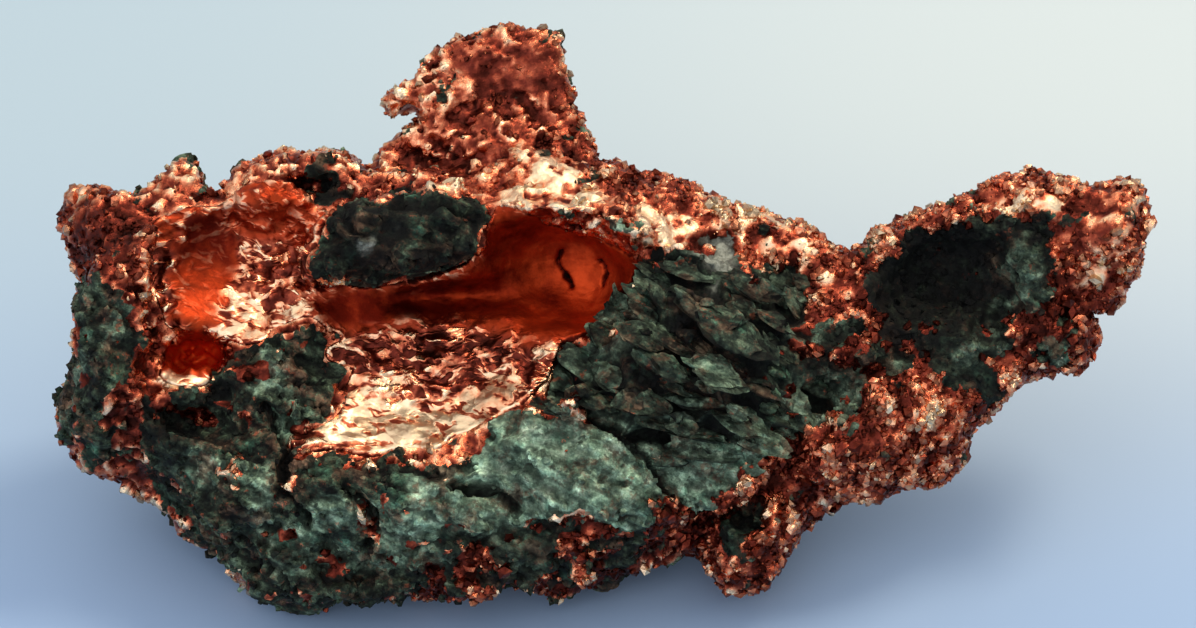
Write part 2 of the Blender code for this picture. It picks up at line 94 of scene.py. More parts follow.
lowLeft = [
    (-22.2, 16.0), (-20.7, 15.5), (-18.4, 16.9), (-16.8, 17.6), (-16.5, 16.3), (-16.7, 15.0), (-15.1, 14.1),
    (-15.8, 12.5), (-17.8, 11.6), (-18.8, 10.7), (-17.8, 9.6), (-13.1, 9.5), (-10.2, 10.0), (-7.3, 10.7),
    (-9.3, 9.4), (-11.2, 7.8), (-11.4, 6.1), (-10.1, 4.8), (-7.9, 5.5), (-7.3, 3.8), (-12.0, 1.2),
    (-15.4, 0.2), (-18.8, -0.2), (-21.3, 1.9), (-23.6, 3.7), (-25.2, 5.4), (-26.5, 7.3), (-27.5, 9.0),
    (-27.1, 10.7), (-22.8, 11.7), (-22.8, 14.7),
]
endWall = [
    (-31.1, 19.6), (-29.6, 20.3), (-28.0, 19.8), (-27.5, 16.6), (-27.8, 14.7), (-28.7, 13.1), (-28.9, 11.2),
    (-28.2, 9.0), (-30.3, 8.4), (-32.4, 10.9), (-32.6, 13.1), (-31.6, 16.0),
]
dimple = [
    (-27.1, 13.2), (-25.9, 13.5), (-23.3, 13.6), (-21.8, 15.9), (-21.3, 14.7), (-22.1, 13.1), (-23.2, 11.9),
    (-23.7, 10.2), (-25.9, 9.0), (-27.2, 10.0),
]
cup = [
    (15.2, 18.9), (15.8, 20.8), (18.6, 22.7), (22.0, 23.9), (23.5, 23.2), (25.8, 23.9), (26.7, 22.5),
    (25.7, 19.5), (24.2, 17.7), (23.0, 16.0), (23.5, 14.0), (23.9, 13.0), (22.0, 12.3), (19.6, 15.3),
    (18.8, 16.2), (17.0, 17.0),
]
waist = [
    (11.4, 17.6), (15.2, 17.8), (17.1, 16.8), (18.8, 15.9), (18.6, 14.7), (17.3, 13.8), (15.4, 12.8),
    (13.5, 13.2), (12.0, 11.2), (11.0, 10.4), (9.5, 10.0), (8.7, 11.9), (10.7, 14.7),
]
finDark = [
    (-8.9, 32.7), (-7.4, 33.6), (-6.0, 34.6), (-2.6, 34.4), (-2.1, 31.2), (-1.9, 30.7), (-5.0, 30.8),
    (-6.7, 30.7), (-8.0, 31.8),
]
knob = [
    (-32.4, 24.3), (-30.0, 25.4), (-27.4, 24.9), (-27.1, 22.6), (-27.3, 20.7), (-28.2, 19.7), (-30.8, 19.6),
    (-31.8, 21.1), (-32.2, 22.6),
]
endRidge = [
    (-27.3, 24.3), (-26.1, 24.0), (-26.0, 18.9), (-25.9, 16.7), (-26.5, 14.2), (-27.3, 10.7), (-28.3, 11.0),
    (-28.7, 12.5), (-27.8, 14.7), (-27.4, 16.6), (-27.8, 20.0), (-27.1, 21.8),
]
tipDark = [
    (26.5, 24.3), (28.5, 25.1), (31.2, 25.1), (32.0, 22.6), (29.7, 22.0), (28.6, 22.6), (27.5, 21.8),
    (26.9, 23.1),
]
lobe = [
    (25.2, 19.9), (28.1, 20.5), (30.3, 19.5), (29.6, 18.9), (29.3, 17.1), (28.9, 15.0), (27.1, 14.2),
    (25.2, 14.9), (23.3, 14.8), (23.1, 16.3), (24.5, 17.8),
]
underRim = [
    (-11.5, 4.0), (-10.2, 4.9), (-7.9, 5.6), (-3.5, 5.4), (1.0, 6.0), (3.4, 7.3), (4.1, 6.1), (3.6, 4.2),
    (0.8, 2.2), (-2.7, 1.0), (-7.3, 0.6), (-10.8, 0.6),
]
loopDark = [(6.4, 6.1), (8.2, 7.6), (9.3, 7.7), (8.7, 5.5), (8.5, 3.8), (7.7, 3.1), (7.1, 4.2)]
rimRecess = [(-18.7, 26.0), (-16.7, 27.0), (-15.4, 26.0), (-14.8, 25.3), (-15.6, 24.7), (-16.8, 24.9)]
whiteColumn = [(5.8, 22.4), (6.4, 22.9), (7.5, 23.1), (7.5, 20.6), (6.9, 20.2), (6.2, 21.1)]
whiteSpot = [(-13.9, 22.9), (-13.1, 23.1), (-12.6, 22.6), (-12.8, 22.1), (-13.6, 22.0)]
brightFin = [
    (-5.9, 28.1), (-3.8, 28.4), (-2.0, 27.1), (0.0, 24.9), (-1.3, 24.3), (-3.8, 23.9), (-6.2, 24.9),
    (-5.0, 26.1),
]
brightFloor = [
    (-17.6, 10.8), (-16.2, 11.8), (-14.6, 14.6), (-12.6, 12.6), (-8.6, 13.2), (-5.4, 15.2), (-4.6, 13.2),
    (-6.9, 11.4), (-10.1, 10.0), (-13.4, 9.6),
]
brightEdge = [
    (-22.2, 22.2), (-20.2, 23.4), (-19.6, 22.4), (-20.8, 20.6), (-20.4, 18.6), (-22.2, 17.0), (-22.8, 18.4),
    (-22.0, 20.2),
]
brightRidge = [(-0.5, 23.9), (2.0, 24.3), (4.9, 23.9), (5.5, 23.1), (4.3, 22.1), (2.0, 22.4), (0.3, 22.6)]
brightLeft = [
    (-23.4, 18.6), (-22.4, 20.4), (-21.0, 20.0), (-20.2, 18.6), (-18.6, 18.8), (-17.2, 19.6), (-17.2, 18.2),
    (-19.4, 16.9), (-20.4, 16.1), (-21.6, 16.4), (-23.0, 17.2),
]
wingArea = [(10.0, 8.0), (12.6, 20.5), (14.4, 27.0), (34.0, 28.0), (34.0, 11.0), (20.0, 6.0)]
loopArea = [(4.6, 6.4), (8.6, 9.6), (12.0, 9.0), (13.0, 4.0), (8.0, 0.5), (5.4, 3.0)]
ridgeRight = [
    (5.4, 26.0), (5.2, 22.8), (7.6, 23.2), (7.9, 20.6), (9.5, 21.2), (11.3, 21.5), (12.4, 19.4),
    (14.8, 19.0), (16.0, 26.0),
]
nookLip = [
    (-26.6, 14.3), (-25.8, 14.6), (-24.8, 14.4), (-23.3, 14.3), (-23.1, 14.0), (-24.4, 13.75),
    (-25.8, 13.8),
]
cupBlack = [
    (15.2, 19.0), (15.8, 20.6), (18.4, 22.6), (20.4, 23.6), (23.4, 22.8), (23.6, 20.4), (22.6, 18.6),
    (20.4, 17.6), (17.4, 17.4),
]
cupGreen = [
    (23.2, 21.8), (24.6, 22.4), (25.6, 20.6), (24.4, 18.8), (22.6, 17.6), (21.0, 16.6), (19.8, 15.2),
    (21.2, 14.8), (23.2, 16.4),
]
waistGreen = [
    (9.6, 12.6), (11.4, 14.2), (14.2, 14.6), (16.8, 15.6), (18.2, 15.4), (16.6, 14.0), (13.6, 12.8),
    (12.4, 11.0), (10.6, 10.2),
]
lowEdge = [
    (-32.0, 10.2), (-28.2, 8.2), (-23.6, 4.7), (-20.1, 1.2), (-15.5, 0.2), (-12.0, 1.0), (-14.4, 3.6),
    (-20.7, 7.0), (-25.0, 9.8), (-28.8, 11.9),
]
finRed = [(-12.0, 30.4), (-9.2, 31.8), (-6.2, 30.4), (-5.0, 28.4), (-7.4, 26.6), (-11.0, 27.4)]
brightTip = [(28.0, 21.4), (29.0, 21.7), (30.0, 20.5), (29.7, 19.5), (28.5, 20.0)]
lobePatch = [(25.5, 17.0), (26.3, 18.4), (27.8, 18.1), (27.7, 16.2), (26.8, 14.9), (25.7, 15.3)]
brightWing = [(21.9, 24.5), (23.4, 25.9), (26.6, 25.7), (27.2, 24.6), (25.4, 23.5), (23.6, 23.9)]
finEdge = [(-2.2, 33.0), (-3.4, 28.4), (-1.6, 26.4), (0.2, 24.4), (5.0, 24.2), (6.0, 26.0), (0.0, 30.0)]

# Cracks, as lines on the broad face.
wallCracks = [
    [(-2.7, 21.9), (-2.7, 21.1), (-2.3, 20.3), (-1.9, 19.6)],
    [(-0.4, 21.3), (0.0, 21.0), (0.1, 20.5), (-0.1, 19.9)],
]
rockCracks = [
    [(-2.0, 13.0), (-0.4, 12.0), (1.1, 10.8), (3.1, 9.3), (3.7, 8.5)],
    [(3.6, 8.6), (3.9, 7.3), (3.7, 5.8)],
    [(1.1, 10.8), (2.6, 10.9), (4.4, 10.3)],
    [(-8.8, 8.4), (-6.6, 7.9), (-5.2, 6.6)],
    [(-20.0, 12.6), (-18.6, 10.4), (-18.9, 8.0), (-17.4, 5.9)],
    [(-15.2, 8.4), (-13.6, 6.6), (-13.9, 4.2)],
]
# Hollows in the broad face: centre and half sizes in mm (along, into, up the face), turn and lean in degrees.
hollows = [
    ((-10.4, -3.8, 14.4), (8.6, 2.6, 7.4), 18, 29),
    ((-8.6, -7.0, 16.2), (11.4, 6.5, 5.6), 22, 0),
    ((-7.4, -3.4, 19.2), (9.0, 5.6, 1.7), 3, 0),
    ((-3.0, -3.2, 20.4), (5.4, 5.9, 3.8), -6, 0),
    ((-21.2, -2.2, 19.4), (5.2, 2.7, 5.8), 8, 28),
    ((-20.4, -6.2, 19.8), (5.0, 6.7, 4.8), 14, 0),
    ((-18.6, -3.2, 22.4), (2.6, 4.6, 2.2), -10, 0),
    ((-23.2, -3.4, 20.2), (2.4, 4.0, 4.2), 0, 0),
    ((-24.2, -0.8, 15.5), (2.0, 3.6, 1.6), -8, 0),
]
# How much of each outline is rock, and how dark it is: below 0 is brighter. A later one lies over the others.
rockShares = [
    (leafZone, 1.0), (paleBand, 1.0), (lowLeft, 0.84), (endWall, 0.86), (dimple, 0.8), (darkLump, 1.0),
    (cup, 1.0), (waist, 0.62), (underRim, 0.52), (loopDark, 0.8), (rimRecess, 0.7), (nookLip, 0.0),
    (waistGreen, 0.8), (lobePatch, 0.8),
]
# Dark is partly the rock's own colour and partly painted shade: in the cup, the dimple, the recesses, the
# loop's hollow and under the rim. The low edge is darker too. Below 0 is painted light: brighter on the fin's
# red face and the right ridge.
darkAndShadeShares = [
    (lowEdge, 0.45), (loopArea, 0.25), (finRed, -0.5), (ridgeRight, -0.35), (cup, 0.85), (cupBlack, 1.0),
    (cupGreen, 0.4), (dimple, 0.8), (darkLump, 0.8), (loopDark, 0.8), (rimRecess, 0.95), (knob, 0.55),
    (tipDark, 0.4), (finDark, 0.45), (lobe, 0.2), (lobePatch, 0.35), (underRim, 0.6), (endWall, 0.25),
    (endRidge, 0.35), (waist, 0.3), (waistGreen, 0.1), (nookLip, 0.0),
]
# How far each outline's copper is crumbled into grains.
crumblyShares = [
    (wingArea, 1.0), (loopArea, 1.0), (ridgeRight, 0.9), (finEdge, 0.75), (knob, 0.6), (underRim, 0.7),
]


def srgb(code):
    channels = [int(code[place:place + 2], 16) / 255 for place in (1, 3, 5)]
    return [c / 12.92 if c <= 0.04045 else ((c + 0.055) / 1.055) ** 2.4 for c in channels] + [1.0]


def smoothStep(low, high, values):
    t = np.clip((values - low) / (high - low), 0, 1)
    return t * t * (3 - 2 * t)


# From world places in metres to face places in mm: along, into and up the face.
def toFace(points):
    turn = np.array(worldToFace)
    return points @ turn[:3, :3].T + turn[:3, 3]


# How far each place lies inside an outline, in mm.
def insideBy(face, outline):
    x, z = face[:, 0], face[:, 2]
    nearest = np.full(len(face), 1e9)
    inside = np.zeros(len(face), dtype=bool)
    for (x1, z1), (x2, z2) in zip(outline, outline[1:] + outline[:1]):
        dx, dz = x2 - x1, z2 - z1
        t = np.clip(((x - x1) * dx + (z - z1) * dz) / (dx * dx + dz * dz), 0, 1)
        nearest = np.minimum(nearest, (x - x1 - t * dx) ** 2 + (z - z1 - t * dz) ** 2)
        crosses = ((z1 > z) != (z2 > z)) & (x < x1 + dx * (z - z1) / (dz if dz else 1e-9))
        inside ^= crosses
    return np.where(inside, 1, -1) * np.sqrt(nearest)


def outlineWeight(face, outline, soft=0.35):
    return smoothStep(-soft, soft, insideBy(face, outline))


def shareOf(face, shares, ground):
    level = np.full(len(face), float(ground))
    for outline, share in shares:
        weight = outlineWeight(face, outline)
        level = level * (1 - weight) + share * weight
    return level


def hollowWeight(face, grow):
    weight = np.zeros(len(face))
    for centre, half, turn, lean in hollows:
        place = Matrix.Rotation(-math.radians(turn), 3, "Y") @ Matrix.Rotation(-math.radians(lean), 3, "X")
        reach = np.linalg.norm((face - np.array(centre)) @ np.array(place) / np.array(half), axis=1)
        weight = np.maximum(weight, smoothStep(grow + 0.1, grow, reach))
    return weight


# 1 within near mm of the lines, falling to 0 at far mm.
def lineWeight(face, lines, near, far):
    distance = np.full(len(face), 1e9)
    for line in lines:
        for (x1, z1), (x2, z2) in zip(line, line[1:]):
            dx, dz = x2 - x1, z2 - z1
            t = np.clip(((face[:, 0] - x1) * dx + (face[:, 2] - z1) * dz) / (dx * dx + dz * dz), 0, 1)
            distance = np.minimum(distance, np.hypot(face[:, 0] - x1 - t * dx, face[:, 2] - z1 - t * dz))
    return smoothStep(far, near, distance)


def meshArrays(thing):
    mesh = thing.data
    points = np.empty(len(mesh.vertices) * 3)
    mesh.vertices.foreach_get("co", points)
    normals = np.empty(len(mesh.vertices) * 3)
    mesh.vertex_normals.foreach_get("vector", normals)
    return points.reshape(-1, 3), normals.reshape(-1, 3)


# The corners of a mesh made of four-sided faces.
def quadsOf(mesh):
    corners = np.empty(len(mesh.polygons) * 4, dtype=np.int64)
    mesh.polygons.foreach_get("vertices", corners)
    return corners.reshape(-1, 4)


def setPoints(thing, points):
    thing.data.vertices.foreach_set("co", points.ravel())
    thing.data.update()


def setAttribute(thing, name, values):
    attribute = thing.data.attributes.get(name) or thing.data.attributes.new(name, "FLOAT", "POINT")
    attribute.data.foreach_set("value", np.asarray(values, dtype=np.float32))


def noiseAt(face, size, seed=0.0, stretch=(1, 1, 1)):
    scaled = face / size / np.array(stretch) + seed
    return np.array([noise.noise(Vector(point)) for point in scaled])


# A push along and up the face, which makes an outline's edge ragged.
def driftAt(face, size, alongSeed, upSeed):
    along, up = noiseAt(face, size, alongSeed), noiseAt(face, size, upSeed)
    return np.stack([along, np.zeros(len(face)), up], axis=1)


# Three fields of noise side by side, which bend folds.
def bendAt(face, size, seed):
    return np.stack([noiseAt(face, size, seed + index) for index in range(3)], axis=1)


# How far each place is from its cell's middle, in cells.
def cellsAt(face, size, seed=0.0):
    scaled = face / size + seed
    return np.array([noise.voronoi(Vector(point))[0][0] for point in scaled])


chipMix = np.array([[12.99, 39.35, 73.16], [78.23, 11.14, 52.24], [37.72, 83.16, 9.15]])  # scrambles places


# Flat chips, each tilted its own way: how high the tilt lifts each point, and the level of its chip.
def chipsAt(face, size, seed, stretch=(1, 1, 1)):
    scaled = face / size / np.array(stretch) + seed
    middles = np.array([noise.voronoi(Vector(point))[1][0][:] for point in scaled])
    lean = np.modf(np.abs(np.sin(middles.round(3) @ chipMix) * 4375.85))[0] * 2 - 1
    return ((scaled - middles) * lean).sum(axis=1), lean[:, 0] * lean[:, 2]


# Crossing folds with flat sides, like crumpled foil, of about unit steepness.
def foldsAt(face, pitch, amount, bend, seed):
    chance = np.random.default_rng(seed)
    total = np.zeros(len(face))
    for _ in range(amount):
        angle = chance.choice((1.1, 1.1, 1.9)) + chance.normal(0, 0.4)
        size = pitch * chance.uniform(0.6, 1.7)
        phase = face @ np.array((math.cos(angle), chance.uniform(-0.3, 0.3), math.sin(angle))) / size
        phase += bend @ chance.uniform(-0.8, 0.8, 3) + chance.random()
        strength = np.clip(0.8 + 3.0 * bend @ chance.uniform(-1, 1, 3), 0, 1.5)
        total += strength * size * np.abs(phase % 1 - 0.5)
    return (total - total.mean()) / math.sqrt(amount)


# Places turned in the plane of the face.
def turned(face, degrees):
    c, s = math.cos(math.radians(degrees)), math.sin(math.radians(degrees))
    return np.stack([face[:, 0] * c + face[:, 2] * s, face[:, 1], face[:, 2] * c - face[:, 0] * s], axis=1)


def applyModifier(thing, kind, **settings):
    bpy.context.view_layer.objects.active = thing
    modifier = thing.modifiers.new(kind.lower(), kind)
    for name, value in settings.items():
        setattr(modifier, name, value)
    bpy.ops.object.modifier_apply(modifier=modifier.name)


# Gives each point the average of its neighbours' values, over and over.
def averageOf(thing, values, rounds):
    edges = np.empty(len(thing.data.edges) * 2, dtype=np.int64)
    thing.data.edges.foreach_get("vertices", edges)
    first, second = edges.reshape(-1, 2).T
    count = np.maximum(np.bincount(edges, minlength=len(values)), 1)
    for _ in range(rounds):
        values = np.stack([
            (np.bincount(first, column[second], len(column))
             + np.bincount(second, column[first], len(column))) / count
            for column in values.T
        ], axis=1)
    return values


# How deep each point lies below its surroundings, in mm.
def cavityOf(thing, rounds):
    points, normals = meshArrays(thing)
    return ((averageOf(thing, points, rounds) - points) * normals).sum(1) / mm


def newPiece(name, points, faces):
    mesh = bpy.data.meshes.new(name)
    mesh.from_pydata(points.tolist(), [], faces.tolist())
    thing = bpy.data.objects.new(name, mesh)
    bpy.context.collection.objects.link(thing)
    return thing


# The skin is the solid's surface, remeshed fine and roughened with crumbs, chips and flakes.
skinSettings = {
    "voxel": 0.276,  # mm, as are all sizes and heights here
    "smoothing": 0.6, "smoothings": 5,  # of the remeshed surface: how much, and how many times
    "crumbSize": 1.0, "crumbHeight": 0.6,
    "gritSize": 0.5, "gritHeight": 0.22,
    "chipSize": 0.8, "chipTilt": 0.42, "chipStep": 0.22, "chipTurn": -38,  # degrees
    "creaseSize": 1.2, "creaseHeight": 0.2,
    "rockSize": 1.9, "rockHeight": 0.34, "bumpSize": 0.7,
    "flakeSize": 1.15, "flakeTilt": 0.55, "flakeStep": 0.34, "flakeTurn": -24,
    "gapPitch": 1.6, "gapHeight": 0.7, "gapTurn": -28,
    "crackDepth": 1.1,
    "liningDepth": 0.55,  # how far the skin drops behind the lining
    "ledge": 0.9,  # how far the bright ledges stand out at their foot
    "ledges": ((brightRidge, 24.4, 2.3), (brightFin, 28.6, 4.6)),  # outline, its top and height
    "groundBand": 0.35,  # nothing is raised this close to the ground
    "flatBand": 0.05,  # what lies this close to it stays level
}
cadNode = bpy.data.objects["copper_nugget"]
skin = bpy.data.objects.new("nuggetSkin", cadNode.data.copy())
bpy.context.collection.objects.link(skin)
skin.select_set(True)
bm = bmesh.new()
bm.from_mesh(skin.data)
bmesh.ops.remove_doubles(bm, verts=bm.verts, dist=0.00001)
bm.to_mesh(skin.data)
bm.free()
applyModifier(skin, "REMESH", mode="VOXEL", voxel_size=skinSettings["voxel"] * mm, use_smooth_shade=True)
applyModifier(skin, "SMOOTH", factor=skinSettings["smoothing"], iterations=skinSettings["smoothings"])

points, normals = meshArrays(skin)
face = toFace(points)
faceNormals = normals @ np.array(worldToFace.to_3x3().normalized()).T
wander = 1.3 * driftAt(face, 2.3, 0.0, 7.3) + 0.7 * driftAt(face, 0.8, 3.3, 9.3)
zonePlace = face + wander
front = smoothStep(0.5, 0.0, faceNormals[:, 1] + noiseAt(face, 3.0, 5.0) * 0.25)
blotch = np.clip(0.5 + 0.75 * noiseAt(face, 1.5, 12.0) + 0.35 * noiseAt(face, 0.6, 14.0), 0.03, 0.97)

# Where the lining lies, in the hollows but not on the lump that hangs across them.
nearFoil = np.maximum.reduce([
    outlineWeight(face + 0.4 * wander, outline, 0.2) for outline in (foilWall, foilFloor, foilLeft, nook)
])
lump = outlineWeight(face + 0.3 * wander, darkLump, 0.5) * smoothStep(-0.6, -1.4, face[:, 1])
lining = nearFoil * hollowWeight(face, 1.25) * smoothStep(0.75, 0.4, faceNormals[:, 1]) * (1 - lump)
liningSoft = averageOf(skin, lining[:, None], 4)[:, 0]

# Where the skin is rock, dark, clean, crumbly, pale, white or layered, with painted shade in the dark and
# painted highlight in the clean. The back has a mix of its own.
share = shareOf(zonePlace, rockShares, 0.07)
lowerLeft = smoothStep(12.0, 7.0, face[:, 2]) * smoothStep(-6.0, -12.0, face[:, 0])
backShare = 0.5 + 0.9 * noiseAt(face, 7.0, 21.0) + 0.3 * noiseAt(face, 3.0, 11.0) + 0.45 * lowerLeft
share = share * front + backShare * (1 - front)
rock = np.maximum(smoothStep(-0.1, 0.1, share - blotch), lump) * (1 - lining)
# Painted shade from the outlines in the cup, the dimple, the recesses and under the rim, over dark rock; the
# back is darker, most of all low on the left.
dark = shareOf(zonePlace, darkAndShadeShares, 0.0) * front + (0.25 + 0.35 * lowerLeft) * (1 - front)
dark = np.clip(dark + 0.6 * lump * noiseAt(face, 1.3, 95.0), -0.5, 1)
# Clean copper is smoother and has fewer grains, and it is also painted paler: painted highlight on the bright
# places, on the nook's lip and as glints on the right ridge and tip.
brightPlaces = (brightFin, brightRidge, brightLeft, brightWing, brightTip)
cleanAndSheen = np.maximum.reduce([outlineWeight(zonePlace, outline, 0.5) for outline in brightPlaces])
cleanAndSheen *= front * smoothStep(-0.3, -0.06, noiseAt(face, 0.85, 55.0) + 0.5 * noiseAt(face, 0.4, 56.0))
cleanAndSheen = np.maximum(cleanAndSheen, outlineWeight(face, nookLip, 0.2) * front)
glints = np.maximum(0.55 * outlineWeight(zonePlace, ridgeRight), 0.4 * outlineWeight(zonePlace, tipDark))
cleanAndSheen = np.maximum(cleanAndSheen, glints * front * smoothStep(0.0, 0.2, noiseAt(face, 0.9, 58.0)))
crumbly = shareOf(zonePlace, crumblyShares, 0.12) * front + 0.55 * (1 - front)
paleSpots = 0.6 * smoothStep(0.08, 0.36, noiseAt(face, 2.6, 17.0))
neverPale = np.maximum(outlineWeight(face, darkLump), outlineWeight(face, cup))
palerGreen = np.maximum(outlineWeight(zonePlace, cupGreen), outlineWeight(zonePlace, waistGreen))
pale = np.maximum(outlineWeight(zonePlace, paleBand, 0.9), paleSpots)
pale *= (1 - 0.9 * np.maximum(dark, 0)) * (1 - neverPale * front)
pale = np.maximum(pale, 0.5 * front * palerGreen)
white = np.maximum(outlineWeight(zonePlace, whiteColumn, 0.5), outlineWeight(zonePlace, whiteSpot)) * front
layered = outlineWeight(zonePlace, leafZone, 0.6) * front * (1 - lining)
layered *= 1 - 0.85 * outlineWeight(face, paleBand, 0.4)
copper = (1 - rock) * (1 - lining)
# Painted shade: darker under the leaves and along the rock's cracks.
dark = np.maximum(dark, 0.8 * layered)
dark = np.maximum(dark, lineWeight(face + 0.25 * wander, rockCracks, 0.1, 0.45) * front * rock)

# How high the copper stands: crumbs and grit where it is crumbly, creases and chips where it isn't.
crumb = cellsAt(face + 0.3 * wander, skinSettings["crumbSize"])
grit = cellsAt(face, skinSettings["gritSize"], 4.7)
crumble = skinSettings["crumbHeight"] * (0.55 - crumb) + skinSettings["gritHeight"] * (0.5 - grit)
streaked = turned(face + 0.5 * wander, skinSettings["chipTurn"])
crease = 1 - 2.4 * np.abs(noiseAt(streaked, skinSettings["creaseSize"], 2.0, (1.7, 1.2, 0.9)))
tilt, step = chipsAt(streaked, skinSettings["chipSize"], 5.0, (1.4, 1.2, 0.9))
chips = skinSettings["chipTilt"] * tilt + skinSettings["chipStep"] * step
crinkle = skinSettings["creaseHeight"] * (crease - 0.4) + chips + 0.12 * (0.5 - grit)
plates = front * np.maximum(outlineWeight(zonePlace, finDark, 0.8), outlineWeight(zonePlace, tipDark, 0.5))
roughness = crumbly * (0.8 * crumble + 0.4 * chips) + (1 - crumbly) * crinkle
height = copper * (1 - 0.4 * cleanAndSheen) * (1 - 0.5 * plates) * roughness - 0.06

# How high the rock stands: lumps and tilted flakes, cut by cracks and by the gaps between leaves.
lumps = 0.8 * noiseAt(face, skinSettings["rockSize"], 1.7)
lumps += 0.4 * noiseAt(face, skinSettings["bumpSize"], 9.0)
layers = turned(face + 0.25 * wander, skinSettings["flakeTurn"])
tilt, step = chipsAt(layers, skinSettings["flakeSize"], 23.0, (1.7, 1.2, 0.75))
flakes = skinSettings["flakeTilt"] * tilt + skinSettings["flakeStep"] * step
flakes *= (1 - 0.15 * pale) * (1 - 0.5 * outlineWeight(face, cup))
height += rock * (1 - layered) * (skinSettings["rockHeight"] * lumps + flakes)
rockCrack = lineWeight(face + 0.25 * wander, rockCracks, 0.12, 0.5) * front
height -= skinSettings["crackDepth"] * rockCrack * rock
gaps = noiseAt(turned(face, skinSettings["gapTurn"]), skinSettings["gapPitch"], 6.0, (2.2, 1, 0.8))
gaps += 0.5 * noiseAt(face, 0.6, 8.0)
height += layered * skinSettings["gapHeight"] * (gaps - 0.9)

# Behind the lining the skin sinks, and close to the ground nothing is raised.
height *= 1 - 0.6 * smoothStep(0.1, 0.5, liningSoft)
height -= skinSettings["liningDepth"] * smoothStep(0.72, 1.0, liningSoft)
height = np.where(points[:, 2] < skinSettings["groundBand"] * mm, np.minimum(height, 0.0), height)
skinPoints = points + normals * (height * mm)[:, None]
outOfFace = np.array(faceToWorld)[:3, :3] @ np.array((0, -1, 0))
for outline, top, rise in skinSettings["ledges"]:
    ledge = outlineWeight(face, outline, 0.8) * front * np.clip((top - face[:, 2]) / rise, 0, 1)
    skinPoints += (ledge * skinSettings["ledge"])[:, None] * outOfFace
resting = points[:, 2] < skinSettings["flatBand"] * mm
skinPoints[:, 2] = np.where(resting, points[:, 2], np.maximum(skinPoints[:, 2], 0))
setPoints(skin, skinPoints)
skinCavity = cavityOf(skin, 4)
# Crumbled copper is painted darker: painted shade between its grains.
skinLooks = {
    "rock": rock, "pale": pale, "dark": dark + 0.25 * crumbly * copper * (1 - cleanAndSheen), "cavity": skinCavity,
    "white": white, "cleanAndSheen": cleanAndSheen, "lining": liningSoft,
}
for name, values in skinLooks.items():
    setAttribute(skin, name, values)
print("skin", len(skin.data.polygons), "quads, cavity", np.percentile(skinCavity, [2, 50, 98]).round(3))

# The lining is thin copper sheet, crumpled over the walls and floors of the hollows. Sizes in mm.
liningSettings = {
    "pitch": 1.9, "steepness": 0.22,
    "finePitch": 0.75, "fineSteepness": 0.3,
    "swell": 0.25, "crackDepth": 0.3, "edgeDepth": 0.4,
    "stand": 0.12,  # how far it stands off the solid's surface
    "thick": 0.2,
    "fewestFaces": 300,  # smaller scraps of it are left out
}
lined = bpy.data.objects.new("crumpledLining", skin.data.copy())
bpy.context.collection.objects.link(lined)
setPoints(lined, points)
bm = bmesh.new()
bm.from_mesh(lined.data)
bm.verts.ensure_lookup_table()
keep = liningSoft > 0.2
outside = [f for f in bm.faces if not all(keep[v.index] for v in f.verts)]
bmesh.ops.delete(bm, geom=outside, context="FACES")
islands = []
left = set(bm.faces)
while left:
    island = {left.pop()}
    edge = list(island)
    while edge:
        for rim in edge.pop().edges:
            for other in rim.link_faces:
                if other in left:
                    left.discard(other)
                    island.add(other)
                    edge.append(other)
    islands.append(island)
scraps = [f for island in islands if len(island) < liningSettings["fewestFaces"] for f in island]
bmesh.ops.delete(bm, geom=scraps, context="FACES")
bmesh.ops.subdivide_edges(bm, edges=bm.edges, cuts=1, use_grid_fill=True, smooth=0)
bm.to_mesh(lined.data)
bm.free()
applyModifier(lined, "SMOOTH", factor=0.5, iterations=4)
linedPoints, linedNormals = meshArrays(lined)
linedFace = toFace(linedPoints)
within = np.empty(len(linedPoints))
lined.data.attributes["lining"].data.foreach_get("value", within)
within = smoothStep(0.28, 0.6, within)

# Its smooth red wall, its orange patch and its shiny places, which are smoother and painted paler as
# highlight, the rest being folds.
wall = outlineWeight(linedFace, foilWall, 0.8) * smoothStep(6.0, 5.4, np.abs(linedFace[:, 1] - 4.0))
wall = np.maximum(wall, smoothStep(-6.0, -4.5, linedFace[:, 0]) * smoothStep(15.6, 17.2, linedFace[:, 2]))
ragged = linedFace + 0.9 * driftAt(linedFace, 0.9, 81.0, 82.0)
orange = outlineWeight(ragged, smoothPatch, 0.5)
upperLeft = smoothStep(21.8, 23.2, linedFace[:, 2] + 0.8 * noiseAt(linedFace, 1.5, 70.0))
upperLeft *= linedFace[:, 0] < -14
calm = np.maximum(wall, orange)
shine = np.maximum.reduce([
    share * outlineWeight(ragged, outline, 0.6)
    for outline, share in ((brightFloor, 1.0), (brightEdge, 0.5), (brightLeft, 0.7))
])
# The nook's lip is a painted highlight.
lip = outlineWeight(linedFace, nookLip, 0.15)
shine = np.maximum(shine * (1 - calm), lip)

folds = foldsAt(linedFace, liningSettings["pitch"], 7, bendAt(linedFace, 1.5, 31.0), 3)
fineBend = bendAt(linedFace, 0.7, 41.0)
fineFolds = foldsAt(linedFace, liningSettings["finePitch"], 7, fineBend, 4)
wallCrack = lineWeight(linedFace + 0.25 * fineBend, wallCracks, 0.03, 0.17)
height = liningSettings["steepness"] * (1 - 0.9 * calm) * (1 - 0.65 * shine) * folds
height += liningSettings["fineSteepness"] * (1 - 0.85 * calm) * (1 - 0.75 * shine) * fineFolds
height += liningSettings["swell"] * noiseAt(linedFace, 3.2, 60.0) - liningSettings["crackDepth"] * wallCrack
height = (height + liningSettings["stand"]) * within - liningSettings["edgeDepth"] * (1 - within)
setPoints(lined, linedPoints + linedNormals * (height * mm)[:, None])
